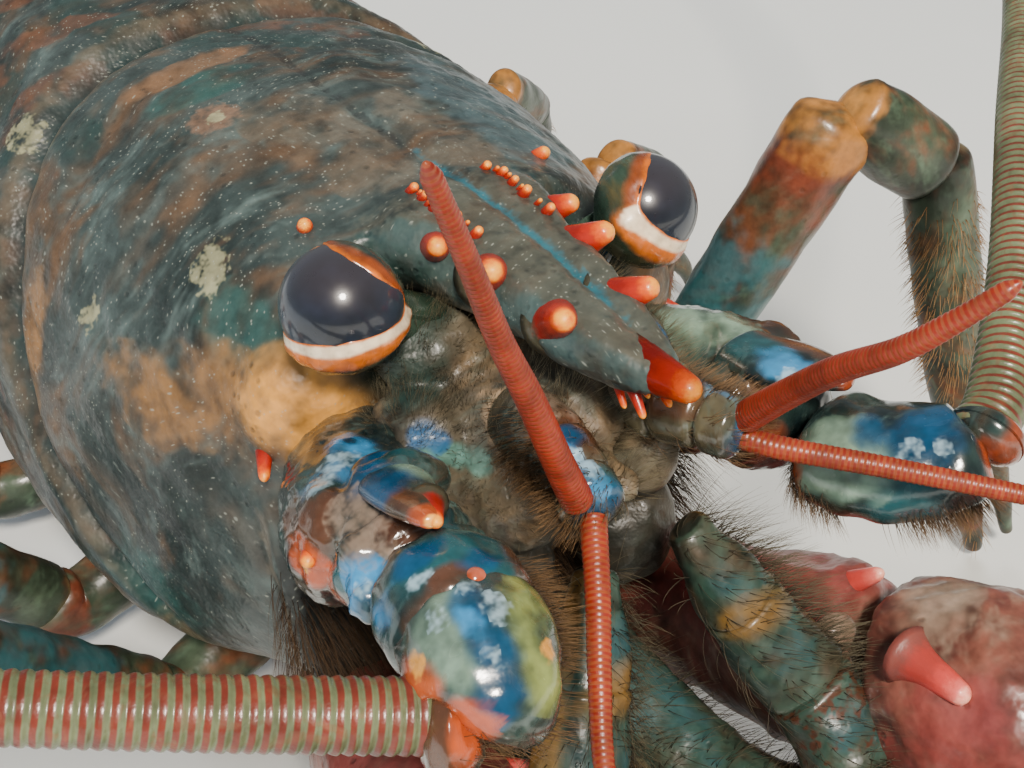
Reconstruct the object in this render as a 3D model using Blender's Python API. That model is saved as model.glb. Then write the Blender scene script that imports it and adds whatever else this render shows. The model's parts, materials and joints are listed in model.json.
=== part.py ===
"""American lobster, a life-size still model standing on the floor.

Lengths are metres, +Z is up, the head faces -Y and the animal's left is +X.
Shapes are laid out in the animal's own frame, in millimetres, from the middle
of the orbits, and moved at the end so that the floor is Z = 0.
"""

import math

import bmesh
import bpy
from mathutils import Matrix, Vector

MM = 0.001
GAP = 0.0003
WELD = 1e-6

# Driving dimensions, in millimetres.
FLOOR = -58.0              # level of the floor under the orbits
EYE_RADIUS = 4.5
WHIP_RADIUS = 2.6
ABDOMEN_STEP = 14.5        # length of one abdominal segment
FOOT_RADIUS = 1.3

# Colours in life: base colour and roughness.
PAINTS = {
    "shell": ((0.075, 0.080, 0.060), 0.45),
    "belly": ((0.42, 0.20, 0.10), 0.50),
    "spine": ((0.62, 0.10, 0.045), 0.40),
    "cornea": ((0.010, 0.012, 0.020), 0.08),
    "stalk": ((0.10, 0.14, 0.11), 0.40),
    "face": ((0.22, 0.18, 0.12), 0.60),
    "antenna": ((0.12, 0.22, 0.24), 0.35),
    "whip": ((0.42, 0.10, 0.055), 0.45),
    "claw": ((0.085, 0.080, 0.055), 0.40),
    "leg": ((0.060, 0.095, 0.085), 0.45),
    "tail": ((0.080, 0.080, 0.055), 0.45),
}

SIDES = {"right": -1.0, "left": 1.0}
AHEAD = Vector((0.0, -1.0, 0.0))
UPWARD = Vector((0.0, 0.0, 1.0))


def clear_scene():
    """Start from an empty scene."""
    for old in list(bpy.data.objects):
        bpy.data.objects.remove(old, do_unlink=True)


def paint(name):
    """The material of one of the animal's surfaces."""
    material = bpy.data.materials.get(name)
    if material:
        return material
    colour, roughness = PAINTS[name]
    material = bpy.data.materials.new(name)
    material.use_nodes = True
    shader = material.node_tree.nodes["Principled BSDF"]
    shader.inputs["Base Color"].default_value = (*colour, 1.0)
    shader.inputs["Roughness"].default_value = roughness
    return material


def at(x, y, z):
    """A point of the animal's frame, given in millimetres."""
    return Vector((x, y, z)) * MM


def finish_mesh(name, bm, coat):
    """Turn a bmesh into a named object in the lobster's collection."""
    bmesh.ops.recalc_face_normals(bm, faces=bm.faces)
    mesh = bpy.data.meshes.new(name)
    bm.to_mesh(mesh)
    bm.free()
    mesh.shade_smooth()
    mesh.set_sharp_from_angle(angle=math.radians(40))
    obj = bpy.data.objects.new(name, mesh)
    obj.data.materials.append(paint(coat))
    LOBSTER.objects.link(obj)
    return obj


def loft(name, rings, coat):
    """Skin a row of rings with the same number of points, and close both ends."""
    bm = bmesh.new()
    rows = [[bm.verts.new(p) for p in ring] for ring in rings]
    count = len(rows[0])
    for near, far in zip(rows, rows[1:]):
        for i in range(count):
            j = (i + 1) % count
            bm.faces.new((near[i], near[j], far[j], far[i]))
    bm.faces.new(rows[0][::-1])
    bm.faces.new(rows[-1])
    return finish_mesh(name, bm, coat)


def axes_along(direction, up):
    """Two unit vectors square to a direction: sideways and upwards."""
    side = direction.cross(up)
    if side.length < 1e-6:
        side = direction.cross(Vector((0, 1, 0)))
    side.normalize()
    return side, side.cross(direction).normalized()


def oval(centre, direction, up, half_width, half_height, sides, power=2.0):
    """A ring of points round a centre, square to a direction. Sizes in millimetres."""
    side, rise = axes_along(direction.normalized(), up)
    ring = []
    for i in range(sides):
        angle = math.tau * (i + 0.5) / sides
        across, high = math.cos(angle), math.sin(angle)
        reach = (abs(across) ** power + abs(high) ** power) ** (-1.0 / power)
        ring.append(
            centre
            + side * (half_width * MM * across * reach)
            + rise * (half_height * MM * high * reach)
        )
    return ring


def limb(name, stations, coat, sides=8, up=Vector((0, 0, 1)), power=2.0, ends=(None, None)):
    """A jointed limb: stations are (point, half width, half height), in millimetres.

    A ring lies square to the mean of its two neighbouring stretches, or, at
    either end, to the direction that `ends` gives.
    """
    points = [at(*s[0]) for s in stations]
    rings = []
    last = len(points) - 1
    for i, (_, half_width, half_height) in enumerate(stations):
        before = (points[i] - points[max(i - 1, 0)]).normalized()
        after = (points[min(i + 1, last)] - points[i]).normalized()
        direction = before + after
        if i == 0 and ends[0] is not None:
            direction = Vector(ends[0])
        if i == last and ends[1] is not None:
            direction = Vector(ends[1])
        rings.append(oval(points[i], direction, up, half_width, half_height, sides, power))
    return loft(name, rings, coat)


def spline(points, steps):
    """A smooth line through points (Catmull-Rom), with `steps` stretches between each two."""
    line = []
    padded = [2 * points[0] - points[1], *points, 2 * points[-1] - points[-2]]
    for a, b, c, d in zip(padded, padded[1:], padded[2:], padded[3:]):
        for k in range(steps):
            t = k / steps
            line.append(
                0.5 * (2 * b + (c - a) * t + (2 * a - 5 * b + 4 * c - d) * t * t
                       + (3 * b - a - 3 * c + d) * t ** 3)
            )
    line.append(points[-1])
    return line


def feeler(name, points, radii, coat, steps=5, resolution=2):
    """A tapering whip: a poly curve through points, with a round bevel and filled caps."""
    line = spline([at(*p) for p in points], steps)
    curve = bpy.data.curves.new(name, "CURVE")
    curve.dimensions = "3D"
    curve.bevel_depth = radii[0] * MM
    curve.bevel_resolution = resolution
    curve.use_fill_caps = True
    run = curve.splines.new("POLY")
    run.points.add(len(line) - 1)
    for i, (point, spot) in enumerate(zip(run.points, line)):
        share = i / (len(line) - 1)
        point.co = (*spot, 1.0)
        point.radius = 1.0 + (radii[1] / radii[0] - 1.0) * share
    obj = bpy.data.objects.new(name, curve)
    curve.materials.append(paint(coat))
    LOBSTER.objects.link(obj)
    return obj


def as_mesh(obj):
    """Replace a curve object by its welded mesh."""
    graph = bpy.context.evaluated_depsgraph_get()
    mesh = bpy.data.meshes.new_from_object(obj.evaluated_get(graph))
    bm = bmesh.new()
    bm.from_mesh(mesh)
    bmesh.ops.remove_doubles(bm, verts=bm.verts, dist=WELD)
    bm.to_mesh(mesh)
    bm.free()
    name = obj.name
    bpy.data.objects.remove(obj)
    solid = bpy.data.objects.new(name, mesh)
    LOBSTER.objects.link(solid)
    return solid


def ball(name, centre, radii, coat, segments=16, rings=10, turn=None):
    """An ellipsoid from a UV sphere. Sizes in millimetres."""
    bm = bmesh.new()
    bmesh.ops.create_uvsphere(bm, u_segments=segments, v_segments=rings, radius=1.0)
    size = Matrix.Diagonal((*[r * MM for r in radii], 1.0))
    turn = turn or Matrix.Identity(4)
    bmesh.ops.transform(bm, matrix=Matrix.Translation(at(*centre)) @ turn @ size, verts=bm.verts)
    return finish_mesh(name, bm, coat)


def spine(root, tip, radius, coat="spine", segments=7, blunt=0.2):
    """A cone from root to tip, `blunt` times as wide at its tip. Sizes in millimetres."""
    start, end = at(*root), at(*tip)
    along = end - start
    bm = bmesh.new()
    bmesh.ops.create_cone(
        bm, cap_ends=True, segments=segments, radius1=radius * MM,
        radius2=radius * blunt * MM, depth=along.length,
    )
    turn = along.to_track_quat("Z", "Y").to_matrix().to_4x4()
    bmesh.ops.transform(
        bm, matrix=Matrix.Translation((start + end) / 2) @ turn, verts=bm.verts
    )
    return finish_mesh("spine", bm, coat)


def keep_largest(mesh):
    """Drop every closed surface of a mesh but the one with the largest area."""
    bm = bmesh.new()
    bm.from_mesh(mesh)
    bm.faces.ensure_lookup_table()
    seen, groups = set(), []
    for face in bm.faces:
        if face in seen:
            continue
        group, stack = [], [face]
        seen.add(face)
        while stack:
            here = stack.pop()
            group.append(here)
            for edge in here.edges:
                for other in edge.link_faces:
                    if other not in seen:
                        seen.add(other)
                        stack.append(other)
        groups.append(group)
    groups.sort(key=lambda g: sum(f.calc_area() for f in g))
    for group in groups[:-1]:
        bmesh.ops.delete(bm, geom=group, context="FACES")
    bm.to_mesh(mesh)
    bm.free()


def is_closed(mesh):
    """Whether every edge of a mesh has two faces once its doubled points are one."""
    bm = bmesh.new()
    bm.from_mesh(mesh)
    bmesh.ops.remove_doubles(bm, verts=bm.verts, dist=WELD)
    closed = len(bm.faces) > 0 and all(edge.is_manifold for edge in bm.edges)
    bm.free()
    return closed


def boolean(obj, others, operation):
    """Apply one Boolean of a collection of closed meshes to obj, and remove them."""
    cutters = bpy.data.collections.new("cutters")
    bpy.context.scene.collection.children.link(cutters)
    for other in others:
        for holder in list(other.users_collection):
            holder.objects.unlink(other)
        cutters.objects.link(other)
    for solver in ("EXACT", "MANIFOLD"):
        modifier = obj.modifiers.new(operation.lower(), "BOOLEAN")
        modifier.operation = operation
        modifier.operand_type = "COLLECTION"
        modifier.collection = cutters
        modifier.solver = solver
        bpy.context.view_layer.update()
        graph = bpy.context.evaluated_depsgraph_get()
        mesh = bpy.data.meshes.new_from_object(obj.evaluated_get(graph))
        obj.modifiers.clear()
        keep_largest(mesh)
        if is_closed(mesh):
            break
    obj.data = mesh
    for other in others:
        bpy.data.objects.remove(other)
    bpy.data.collections.remove(cutters)
    return obj


def swollen(obj, by):
    """A copy of a mesh object pushed out along its normals, to cut room for it."""
    bm = bmesh.new()
    bm.from_mesh(obj.data)
    bm.normal_update()
    shifts = [v.normal * (by * min(v.calc_shell_factor(), 2.0)) for v in bm.verts]
    for vert, shift in zip(bm.verts, shifts):
        vert.co += shift
    mesh = bpy.data.meshes.new("swollen")
    bm.to_mesh(mesh)
    bm.free()
    copy = bpy.data.objects.new("swollen", mesh)
    LOBSTER.objects.link(copy)
    return copy


def seat(child, *parents):
    """Cut a piece clear of what it grows from, so that they meet face to face."""
    for parent in parents:
        boolean(child, [swollen(parent, GAP)], "DIFFERENCE")
    return child


LOBSTER = bpy.data.collections.new("american_lobster")


def along(profile, where):
    """A smooth value read along a profile of (place, value) pairs."""
    places = [p for p, _ in profile]
    values = [v for _, v in profile]
    if where <= places[0]:
        return values[0]
    if where >= places[-1]:
        return values[-1]
    k = next(i for i in range(1, len(places)) if where <= places[i]) - 1
    span = places[k + 1] - places[k]
    before = max(k - 1, 0)
    after = min(k + 2, len(places) - 1)
    slope_in = (values[k + 1] - values[before]) / (places[k + 1] - places[before])
    slope_out = (values[after] - values[k]) / (places[after] - places[k])
    t = (where - places[k]) / span
    return (
        values[k] * (2 * t ** 3 - 3 * t ** 2 + 1)
        + values[k + 1] * (3 * t ** 2 - 2 * t ** 3)
        + span * (slope_in * (t ** 3 - 2 * t ** 2 + t) + slope_out * (t ** 3 - t ** 2))
    )


# The carapace, along the body: half width, level of the back, of the widest line and of the margin.
SHELL_WIDTH = ((-10, 18.0), (0, 21.4), (10, 25.4), (20, 27.8), (30, 28.8), (45, 28.8),
               (60, 28.0), (75, 26.0), (92, 21.5))
SHELL_TOP = ((-10, 0.8), (0, 1.5), (10, 2.7), (20, 3.3), (32, 3.3), (44, 2.4),
             (56, 3.4), (75, 2.8), (92, -0.5))
SHELL_WAIST = ((-10, -22.0), (10, -25.0), (30, -25.5), (60, -24.0), (92, -18.5))
SHELL_BOTTOM = ((-10, -37.0), (0, -40.0), (15, -46.0), (45, -47.0), (70, -44.0), (92, -35.0))
UPPER_POWER = 2.4
LOWER_POWER = 4.2

# Three lines round the shell, as (degrees from the back, Y): front margin, neck groove, rear margin.
FRONT_LINE = ((0, 1.0), (20, 1.5), (35, 2.0), (48, 0.5), (62, -4.2), (70, -2.8), (86, -4.8),
              (110, -6.0), (135, -7.0), (180, -7.0))
GROOVE_LINE = ((0, 44.0), (30, 42.0), (60, 33.5), (90, 26.5), (106, 18.5), (119, 11.7),
               (135, 7.0), (180, 6.0))
REAR_LINE = ((0, 90.0), (45, 91.0), (90, 92.0), (135, 90.0), (180, 88.0))
GROOVE_INSETS = {(0, 0.80): 0.3, (0, 0.92): 1.0, (1, 0): 2.0, (1, 0.06): 0.7}
SHELL_SIDES = 32


def shell_point(y, degrees, inset=0.0):
    """A point of the carapace at Y and an angle from the back, on the animal's left if positive."""
    angle = math.radians(degrees)
    across, high = math.sin(angle), math.cos(angle)
    waist = along(SHELL_WAIST, y)
    rise = along(SHELL_TOP, y) - waist if high > 0 else waist - along(SHELL_BOTTOM, y)
    power = UPPER_POWER if high > 0 else LOWER_POWER
    reach = (abs(across) ** power + abs(high) ** power) ** (-1.0 / power)
    return at(
        (along(SHELL_WIDTH, y) - inset) * across * reach, y, waist + (rise - inset) * high * reach
    )


def shell_rings():
    """Rings from the front margin by the neck groove to the rear margin."""
    steps = [(0, 0), (0, 0.12), (0, 0.28), (0, 0.46), (0, 0.64), (0, 0.80), (0, 0.92), (1, 0),
             (1, 0.06), (1, 0.18), (1, 0.34), (1, 0.50), (1, 0.66), (1, 0.82), (1, 0.94), (1, 1.0)]
    lines = (FRONT_LINE, GROOVE_LINE, REAR_LINE)
    rings = []
    for part, share in steps:
        ring = []
        for i in range(SHELL_SIDES):
            degrees = 360.0 * (i + 0.5) / SHELL_SIDES - 180.0
            near = along(lines[part], abs(degrees))
            far = along(lines[part + 1], abs(degrees))
            flank = min(1.0, max(0.0, (135.0 - abs(degrees)) / 20.0))
            inset = GROOVE_INSETS.get((part, share), 0.0) * flank
            ring.append(shell_point(near + (far - near) * share, degrees, inset))
        rings.append(ring)
    return rings


# The rostrum: Y, half width, level of its upper face, thickness.
ROSTRUM = ((9.0, 6.0, 0.6, 4.0), (2.0, 8.2, 1.9, 6.0), (-2.0, 6.8, 2.0, 6.2), (-6.0, 5.2, 1.9, 5.8),
           (-11.0, 4.3, 1.6, 5.0), (-16.0, 3.5, 1.2, 4.3), (-20.0, 2.8, 0.9, 3.8),
           (-23.6, 1.9, 0.7, 2.9), (-26.1, 0.7, 0.4, 1.2))
# Spines of the rostrum and carapace, one side: root, tip and radius of the root.
ROSTRUM_SPINES = (
    ((4.4, -2.2, 0.4), (6.2, -4.9, 3.0), 1.5),
    ((3.4, -7.4, 0.2), (5.2, -10.3, 3.5), 1.6),
    ((2.4, -14.2, 0.0), (3.9, -17.0, 2.6), 1.5),
    ((0.9, -20.0, -1.2), (1.2, -23.4, -3.2), 0.9),
)
CARAPACE_SPINES = (
    ((9.9, 8.0, -2.0), (11.4, 5.4, 1.7), 1.5),
    ((17.6, 2.2, -12.0), (20.6, -3.6, -13.2), 1.6),
)
RIDGE_TUBERCLES = ((2.6, -4.8, 3.1), (3.1, -2.9, 3.5), (3.3, -0.6, 3.8), (3.8, 2.2, 3.8))


def build_carapace():
    """The shell of the head and thorax, one piece with its rostrum and spines."""
    bm = bmesh.new()
    rows = [[bm.verts.new(p) for p in ring] for ring in shell_rings()]
    for near, far in zip(rows, rows[1:]):
        for i in range(SHELL_SIDES):
            j = (i + 1) % SHELL_SIDES
            bm.faces.new((near[i], near[j], far[j], far[i]))
    for row, middle in ((rows[0], at(0, 0, -18)), (rows[-1], at(0, 90, -18))):
        hub = bm.verts.new(middle)
        for i in range(SHELL_SIDES):
            bm.faces.new((row[i], row[(i + 1) % SHELL_SIDES], hub))
    shell = finish_mesh("carapace", bm, "shell")
    rings = []
    for y, half_width, top, thick in ROSTRUM:
        centre = at(0, y, top - thick / 2)
        rings.append(oval(centre, AHEAD, UPWARD, half_width, thick / 2, 12, 2.4))
    pieces = [loft("rostrum", rings, "shell")]
    for side in SIDES.values():
        for root, tip, radius in ROSTRUM_SPINES + CARAPACE_SPINES:
            pieces.append(
                spine((side * root[0], *root[1:]), (side * tip[0], *tip[1:]), radius, blunt=0.45)
            )
        for x, y, z in RIDGE_TUBERCLES:
            pieces.append(spine((side * x, y + 0.5, z - 2.6), (side * x, y, z), 0.7, segments=5))
    return boolean(shell, pieces, "UNION")


# The front of the head: Y, half width, level and half height.
FACE = ((2.0, 15.0, -19.0, 14.0), (-6.0, 13.0, -17.0, 12.0), (-11.0, 11.0, -15.0, 9.5),
        (-15.5, 8.0, -13.0, 7.0))


def build_face(carapace):
    """The front of the head between the eyes, feelers and mouth."""
    rings = [
        oval(at(0, y, z), AHEAD, UPWARD, wide, high, 16, 2.4)
        for y, wide, z, high in FACE
    ]
    return seat(loft("face", rings, "face"), carapace)


# The breastplate: Y, half width and half height.
STERNUM = ((-2.0, 7.0, 4.0), (12.0, 11.0, 6.6), (35.0, 14.0, 8.0), (58.0, 15.0, 7.6),
           (76.0, 13.0, 6.0), (86.0, 9.0, 4.0))
STERNUM_LEVEL = -44.0


def build_sternum(carapace):
    """The breastplate that carries the legs, under the shell."""
    rings = [
        oval(at(0, y, STERNUM_LEVEL), AHEAD, UPWARD, wide, high, 12, 3.0)
        for y, wide, high in STERNUM
    ]
    return seat(loft("sternum", rings, "belly"), carapace)


EYES = {"right": (-14.2, -5.0, 0.8), "left": (14.8, -5.4, 0.5)}


def build_eye(name, side, carapace, face):
    """A round cornea and the short stalk that carries it."""
    eye = ball(f"eye_{name}", EYES[name], (EYE_RADIUS,) * 3, "cornea")
    stations = (
        ((side * 3.0, -4.0, -6.4), 3.0, 2.4),
        ((side * 7.0, -4.4, -4.6), 3.2, 2.6),
        ((side * 9.6, -4.8, -2.2), 3.8, 3.3),
        ((side * 11.4, -5.0, -0.8), 3.9, 3.7),
        ((side * 12.4, -5.0, -0.2), 3.5, 3.4),
    )
    stalk = limb(f"eyestalk_{name}", stations, "stalk", sides=12)
    seat(stalk, eye, carapace)
    seat(face, stalk)
    return [eye, stalk]


ANTENNULES = {
    "right": {
        "base": (((-4.3, -12.0, -8.6), 2.9, 3.2), ((-4.7, -17.0, -7.6), 2.8, 3.0),
                 ((-5.6, -21.6, -7.4), 2.4, 2.5), ((-6.7, -24.9, -7.4), 2.5, 2.4)),
        "outer": ((-7.6, -24.0, -6.6), (-9.6, -24.4, -2.4), (-12.6, -24.9, 4.4),
                  (-15.3, -25.5, 9.9), (-18.6, -27.0, 17.0), (-22.2, -28.8, 24.4)),
        "inner": ((-6.6, -24.6, -8.2), (-9.2, -28.6, -10.4), (-12.2, -32.9, -13.2),
                  (-14.7, -36.8, -15.8), (-17.2, -42.2, -17.6), (-19.2, -47.4, -18.4)),
    },
    "left": {
        "base": (((4.3, -12.0, -8.6), 2.9, 3.2), ((4.7, -17.0, -7.6), 2.8, 3.0),
                 ((5.6, -21.6, -6.8), 2.4, 2.5), ((6.6, -24.9, -6.4), 2.5, 2.4)),
        "outer": ((6.9, -24.6, -5.4), (6.2, -28.4, -0.8), (5.0, -33.0, 4.4),
                  (4.2, -37.7, 8.9), (4.8, -40.6, 12.4), (6.4, -42.7, 15.5)),
        "inner": ((6.6, -24.0, -7.2), (8.2, -26.9, -7.2), (13.0, -33.2, -7.0),
                  (19.4, -41.5, -7.0), (27.0, -50.8, -7.2), (35.4, -59.6, -8.4)),
    },
}


def build_antennule(name, face, carapace, stalk):
    """A small feeler: a jointed base with an outer and an inner lash."""
    sizes = ANTENNULES[name]
    base = limb(f"antennule_{name}_base", sizes["base"], "antenna", sides=10)
    seat(base, face, carapace, stalk)
    outer = as_mesh(feeler(f"antennule_{name}_outer", sizes["outer"], (1.2, 0.5), "whip", 3, 1))
    inner = as_mesh(feeler(f"antennule_{name}_inner", sizes["inner"], (0.95, 0.4), "whip", 3, 1))
    seat(outer, base)
    seat(inner, base, outer)
    return [base, outer, inner]


ANTENNAE = {
    "right": {
        "base": (((-12.0, -3.0, -16.0), 5.4, 6.2), ((-15.2, -8.0, -14.4), 5.8, 6.4),
                 ((-18.2, -12.8, -12.4), 5.7, 6.0), ((-17.8, -17.4, -11.0), 5.3, 5.2),
                 ((-17.2, -21.4, -10.2), 4.8, 4.3)),
        "scale": (((-15.6, -12.6, -7.6), 3.0, 1.6), ((-16.2, -16.4, -5.6), 3.4, 1.4),
                  ((-17.6, -20.6, -3.8), 2.2, 1.1), ((-19.3, -24.5, -2.4), 0.6, 0.5)),
        "wrist": (((-18.2, -23.2, -9.6), 4.6, 4.2), ((-18.8, -26.0, -8.6), 5.0, 4.6),
                  ((-19.4, -30.0, -8.6), 4.9, 4.6), ((-20.6, -33.0, -10.2), 4.2, 4.2),
                  ((-22.2, -33.4, -11.6), 3.1, 3.2)),
        "whip": ((-22.0, -32.0, -12.0), (-27.6, -29.6, -10.8), (-45.1, -21.6, -6.4),
                 (-70.0, -8.0, -1.0), (-98.0, 14.0, 3.0), (-121.0, 44.0, 4.0),
                 (-137.0, 80.0, 1.0), (-144.0, 118.0, -6.0), (-145.0, 140.0, -12.0)),
    },
    "left": {
        "base": (((12.0, -3.0, -16.0), 5.4, 6.2), ((15.0, -8.0, -15.2), 5.8, 6.4),
                 ((17.4, -13.0, -14.0), 5.8, 6.0), ((16.8, -18.0, -13.2), 5.4, 5.2),
                 ((16.2, -21.8, -12.8), 4.9, 4.2)),
        "scale": (((15.8, -13.6, -7.2), 3.2, 1.6), ((16.6, -18.0, -5.6), 3.8, 1.4),
                  ((17.6, -21.0, -4.8), 2.4, 1.1), ((18.2, -23.4, -4.5), 0.6, 0.5)),
        "wrist": (((16.4, -22.6, -12.6), 5.0, 4.0), ((17.4, -25.6, -12.4), 5.6, 4.1),
                  ((18.9, -29.2, -11.8), 5.6, 4.1), ((21.4, -32.4, -10.2), 4.6, 3.8),
                  ((23.0, -33.6, -9.2), 3.3, 3.2)),
        "whip": ((22.6, -33.4, -9.6), (26.6, -31.6, -8.2), (36.4, -24.2, -4.0),
                 (49.4, -12.9, 0.8), (71.0, 5.0, 4.6), (95.0, 29.0, 8.0),
                 (114.0, 60.0, 9.0), (127.0, 98.0, 5.0), (132.0, 126.0, -2.0)),
    },
}


def build_antenna(name, side, face, carapace):
    """A long feeler: base with its scale, wrist, and a whip in two lengths."""
    sizes = ANTENNAE[name]
    base = limb(f"antenna_{name}_base", sizes["base"], "antenna", sides=14)
    seat(base, carapace, face)
    boolean(base, [spine((side * 20.0, -11.2, -11.8), (side * 23.6, -15.6, -10.4), 1.5)], "UNION")
    scale = limb(f"antenna_{name}_scale", sizes["scale"], "antenna", sides=10)
    seat(scale, base, carapace)
    wrist = limb(f"antenna_{name}_wrist", sizes["wrist"], "antenna", sides=14)
    seat(wrist, base, scale)
    points = sizes["whip"]
    half = 4
    middle_radius = WHIP_RADIUS * 0.56
    near = as_mesh(feeler(
        f"antenna_{name}_whip_near", points[: half + 1], (WHIP_RADIUS, middle_radius), "whip", 4, 2,
    ))
    far = as_mesh(feeler(
        f"antenna_{name}_whip_far", points[half:], (middle_radius, 0.4), "whip", 4, 1,
    ))
    seat(near, wrist)
    seat(far, near)
    return [base, scale, wrist, near, far]


MAXILLIPED = (
    ((5.2, 2.0, -37.0), 3.8, 4.0), ((5.6, -12.0, -40.5), 4.2, 4.6), ((7.4, -26.0, -43.0), 4.2, 4.4),
    ((9.8, -35.4, -41.4), 3.6, 3.8), ((11.4, -38.4, -37.6), 3.3, 3.6), ((12.2, -35.6, -33.8), 3.6, 3.6),
    ((11.6, -31.6, -30.0), 3.8, 3.4), ((9.0, -28.0, -25.4), 3.5, 3.0), ((6.2, -25.0, -19.8), 2.8, 2.4),
    ((4.2, -22.6, -15.6), 1.4, 1.2),
)


def build_maxilliped(name, side, face, carapace, sternum):
    """One of the bristly mouth limbs that close over the jaws."""
    stations = [((side * p[0], p[1], p[2]), wide, high) for p, wide, high in MAXILLIPED]
    limb_ = limb(f"maxilliped_{name}", stations, "leg", sides=10, up=Vector((0, 1, -0.3)))
    return seat(limb_, face, carapace, sternum)


# The claws along the palm: share of the length, outer edge, inner edge and half thickness.
PALM = ((0.0, 8.0, -7.0, 6.5), (0.06, 13.0, -12.0, 8.8), (0.16, 20.0, -18.0, 11.2),
        (0.28, 24.0, -21.0, 12.4), (0.40, 25.4, -21.5, 12.2), (0.445, 25.4, -7.0, 11.2),
        (0.55, 24.0, -1.5, 9.6), (0.68, 20.5, 2.0, 8.0), (0.80, 15.6, 2.6, 6.4),
        (0.91, 9.0, 1.2, 4.4), (0.975, 4.0, -1.0, 2.4), (1.0, 0.6, -1.6, 0.8))
FINGER = ((0.435, -6.6, -20.6, 8.6), (0.50, -7.2, -23.0, 9.0), (0.60, -7.6, -22.6, 8.2),
          (0.72, -6.4, -19.4, 6.8), (0.84, -3.6, -13.6, 5.0), (0.94, -1.6, -7.8, 3.0),
          (0.99, -2.2, -4.8, 1.2))
CLAWS = {
    "right": {"broad": 1.06, "thick": 1.06, "teeth": 5, "tooth": 2.6,
              "wrist": (-26.5, -51.0, -36.4), "tip": (-38.0, -155.0, -55.6)},
    "left": {"broad": 0.86, "thick": 0.86, "teeth": 9, "tooth": 1.5,
             "wrist": (26.5, -51.0, -34.0), "tip": (34.0, -154.0, -57.6)},
}


PALM_SPINES = 5


def claw_ring(share, outer, inner, half_thick, claw, side, sides):
    """A ring across the claw, and the direction of the claw."""
    start, end = at(*claw["wrist"]), at(*claw["tip"])
    along_claw = (end - start).normalized()
    out = (Vector((side, 0, 0)) - along_claw * along_claw.x * side).normalized()
    middle = (outer + inner) / 2 * claw["broad"]
    centre = start + (end - start) * share + out * (middle * MM)
    return oval(
        centre, along_claw, UPWARD, (outer - inner) / 2 * claw["broad"],
        half_thick * claw["thick"], sides, 2.3,
    )


def to_floor(obj):
    """Flatten what would reach below the floor."""
    for vert in obj.data.vertices:
        vert.co.z = max(vert.co.z, FLOOR * MM)
    return obj


def build_claw(name, side, sternum, carapace, maxilliped):
    """A great claw: arm, wrist, palm with its fixed finger, and the moving finger."""
    claw = CLAWS[name]
    arm_stations = (
        ((side * 9.0, 4.0, -39.5), 5.0, 5.0), ((side * 13.5, -4.0, -40.5), 5.6, 6.0),
        ((side * 16.8, -16.0, -38.0), 6.2, 7.4), ((side * 18.6, -27.0, -34.4), 7.4, 8.6),
        ((side * 19.2, -32.0, -32.6), 6.6, 7.6),
    )
    arm = limb(f"claw_{name}_arm", arm_stations, "claw", sides=12)
    boolean(arm, [
        spine((side * 19.0, -25.0, -30.0), (side * 20.4, -29.6, -23.4), 1.6),
        spine((side * 15.0, -22.0, -32.0), (side * 11.4, -26.4, -28.6), 1.5),
    ], "UNION")
    seat(arm, sternum, carapace, maxilliped)
    wrist_stations = (
        ((side * 20.0, -32.0, -32.4), 6.4, 7.4), ((side * 21.0, -36.0, -31.0), 8.4, 8.8),
        ((side * 22.6, -42.0, -30.2), 9.5, 9.6), ((side * 24.8, -48.0, -32.2), 8.2, 8.4),
        ((side * 26.4, -51.6, -34.6), 6.4, 6.6),
    )
    wrist = limb(f"claw_{name}_wrist", wrist_stations, "claw", sides=14)
    boolean(wrist, [
        spine((side * 15.6, -40.0, -26.0), (side * 11.6, -44.4, -21.6), 2.0),
        spine((side * 20.6, -40.6, -22.6), (side * 20.8, -44.2, -17.4), 1.8),
        spine((side * 26.4, -42.0, -24.0), (side * 29.6, -45.8, -20.2), 1.6),
    ], "UNION")
    seat(wrist, arm, maxilliped)
    palm = loft(
        f"claw_{name}_palm", [claw_ring(*row, claw, side, 16) for row in PALM], "claw"
    )
    finger = loft(
        f"claw_{name}_finger", [claw_ring(*row, claw, side, 12) for row in FINGER], "claw"
    )
    start, end = at(*claw["wrist"]), at(*claw["tip"])
    run = end - start
    out = (Vector((side, 0, 0)) - run.normalized() * run.normalized().x * side).normalized()
    knobs = []
    for i in range(PALM_SPINES):
        share = 0.09 + 0.075 * i
        edge = along([(row[0], row[2]) for row in PALM], share) * claw["broad"]
        root = start + run * share + out * ((edge + 4.0) * MM)
        tip = start + run * (share + 0.035) + out * ((edge - 3.2) * MM) + at(0, 0, 3.5)
        knobs.append(spine(tuple(root / MM), tuple(tip / MM), 2.0))
    teeth = {palm.name: [], finger.name: []}
    for owner, rows, column, turn in ((palm, PALM, 2, -1.0), (finger, FINGER, 1, 1.0)):
        for i in range(claw["teeth"]):
            share = 0.53 + 0.36 * i / (claw["teeth"] - 1)
            size = claw["tooth"] * (1.15 - 0.5 * abs(i / (claw["teeth"] - 1) - 0.35))
            edge = along([(row[0], row[column]) for row in rows], share) * claw["broad"]
            root = (start + run * share + out * ((edge - turn * 2.4) * MM)) / MM
            tip = (start + run * share + out * ((edge + turn * size * 0.8) * MM)) / MM
            teeth[owner.name].append(spine(tuple(root), tuple(tip), size, "spine", 6))
    boolean(palm, knobs + teeth[palm.name], "UNION")
    boolean(finger, teeth[finger.name], "UNION")
    to_floor(palm)
    to_floor(finger)
    seat(palm, wrist)
    seat(finger, palm)
    return [arm, wrist, palm, finger]


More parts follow.
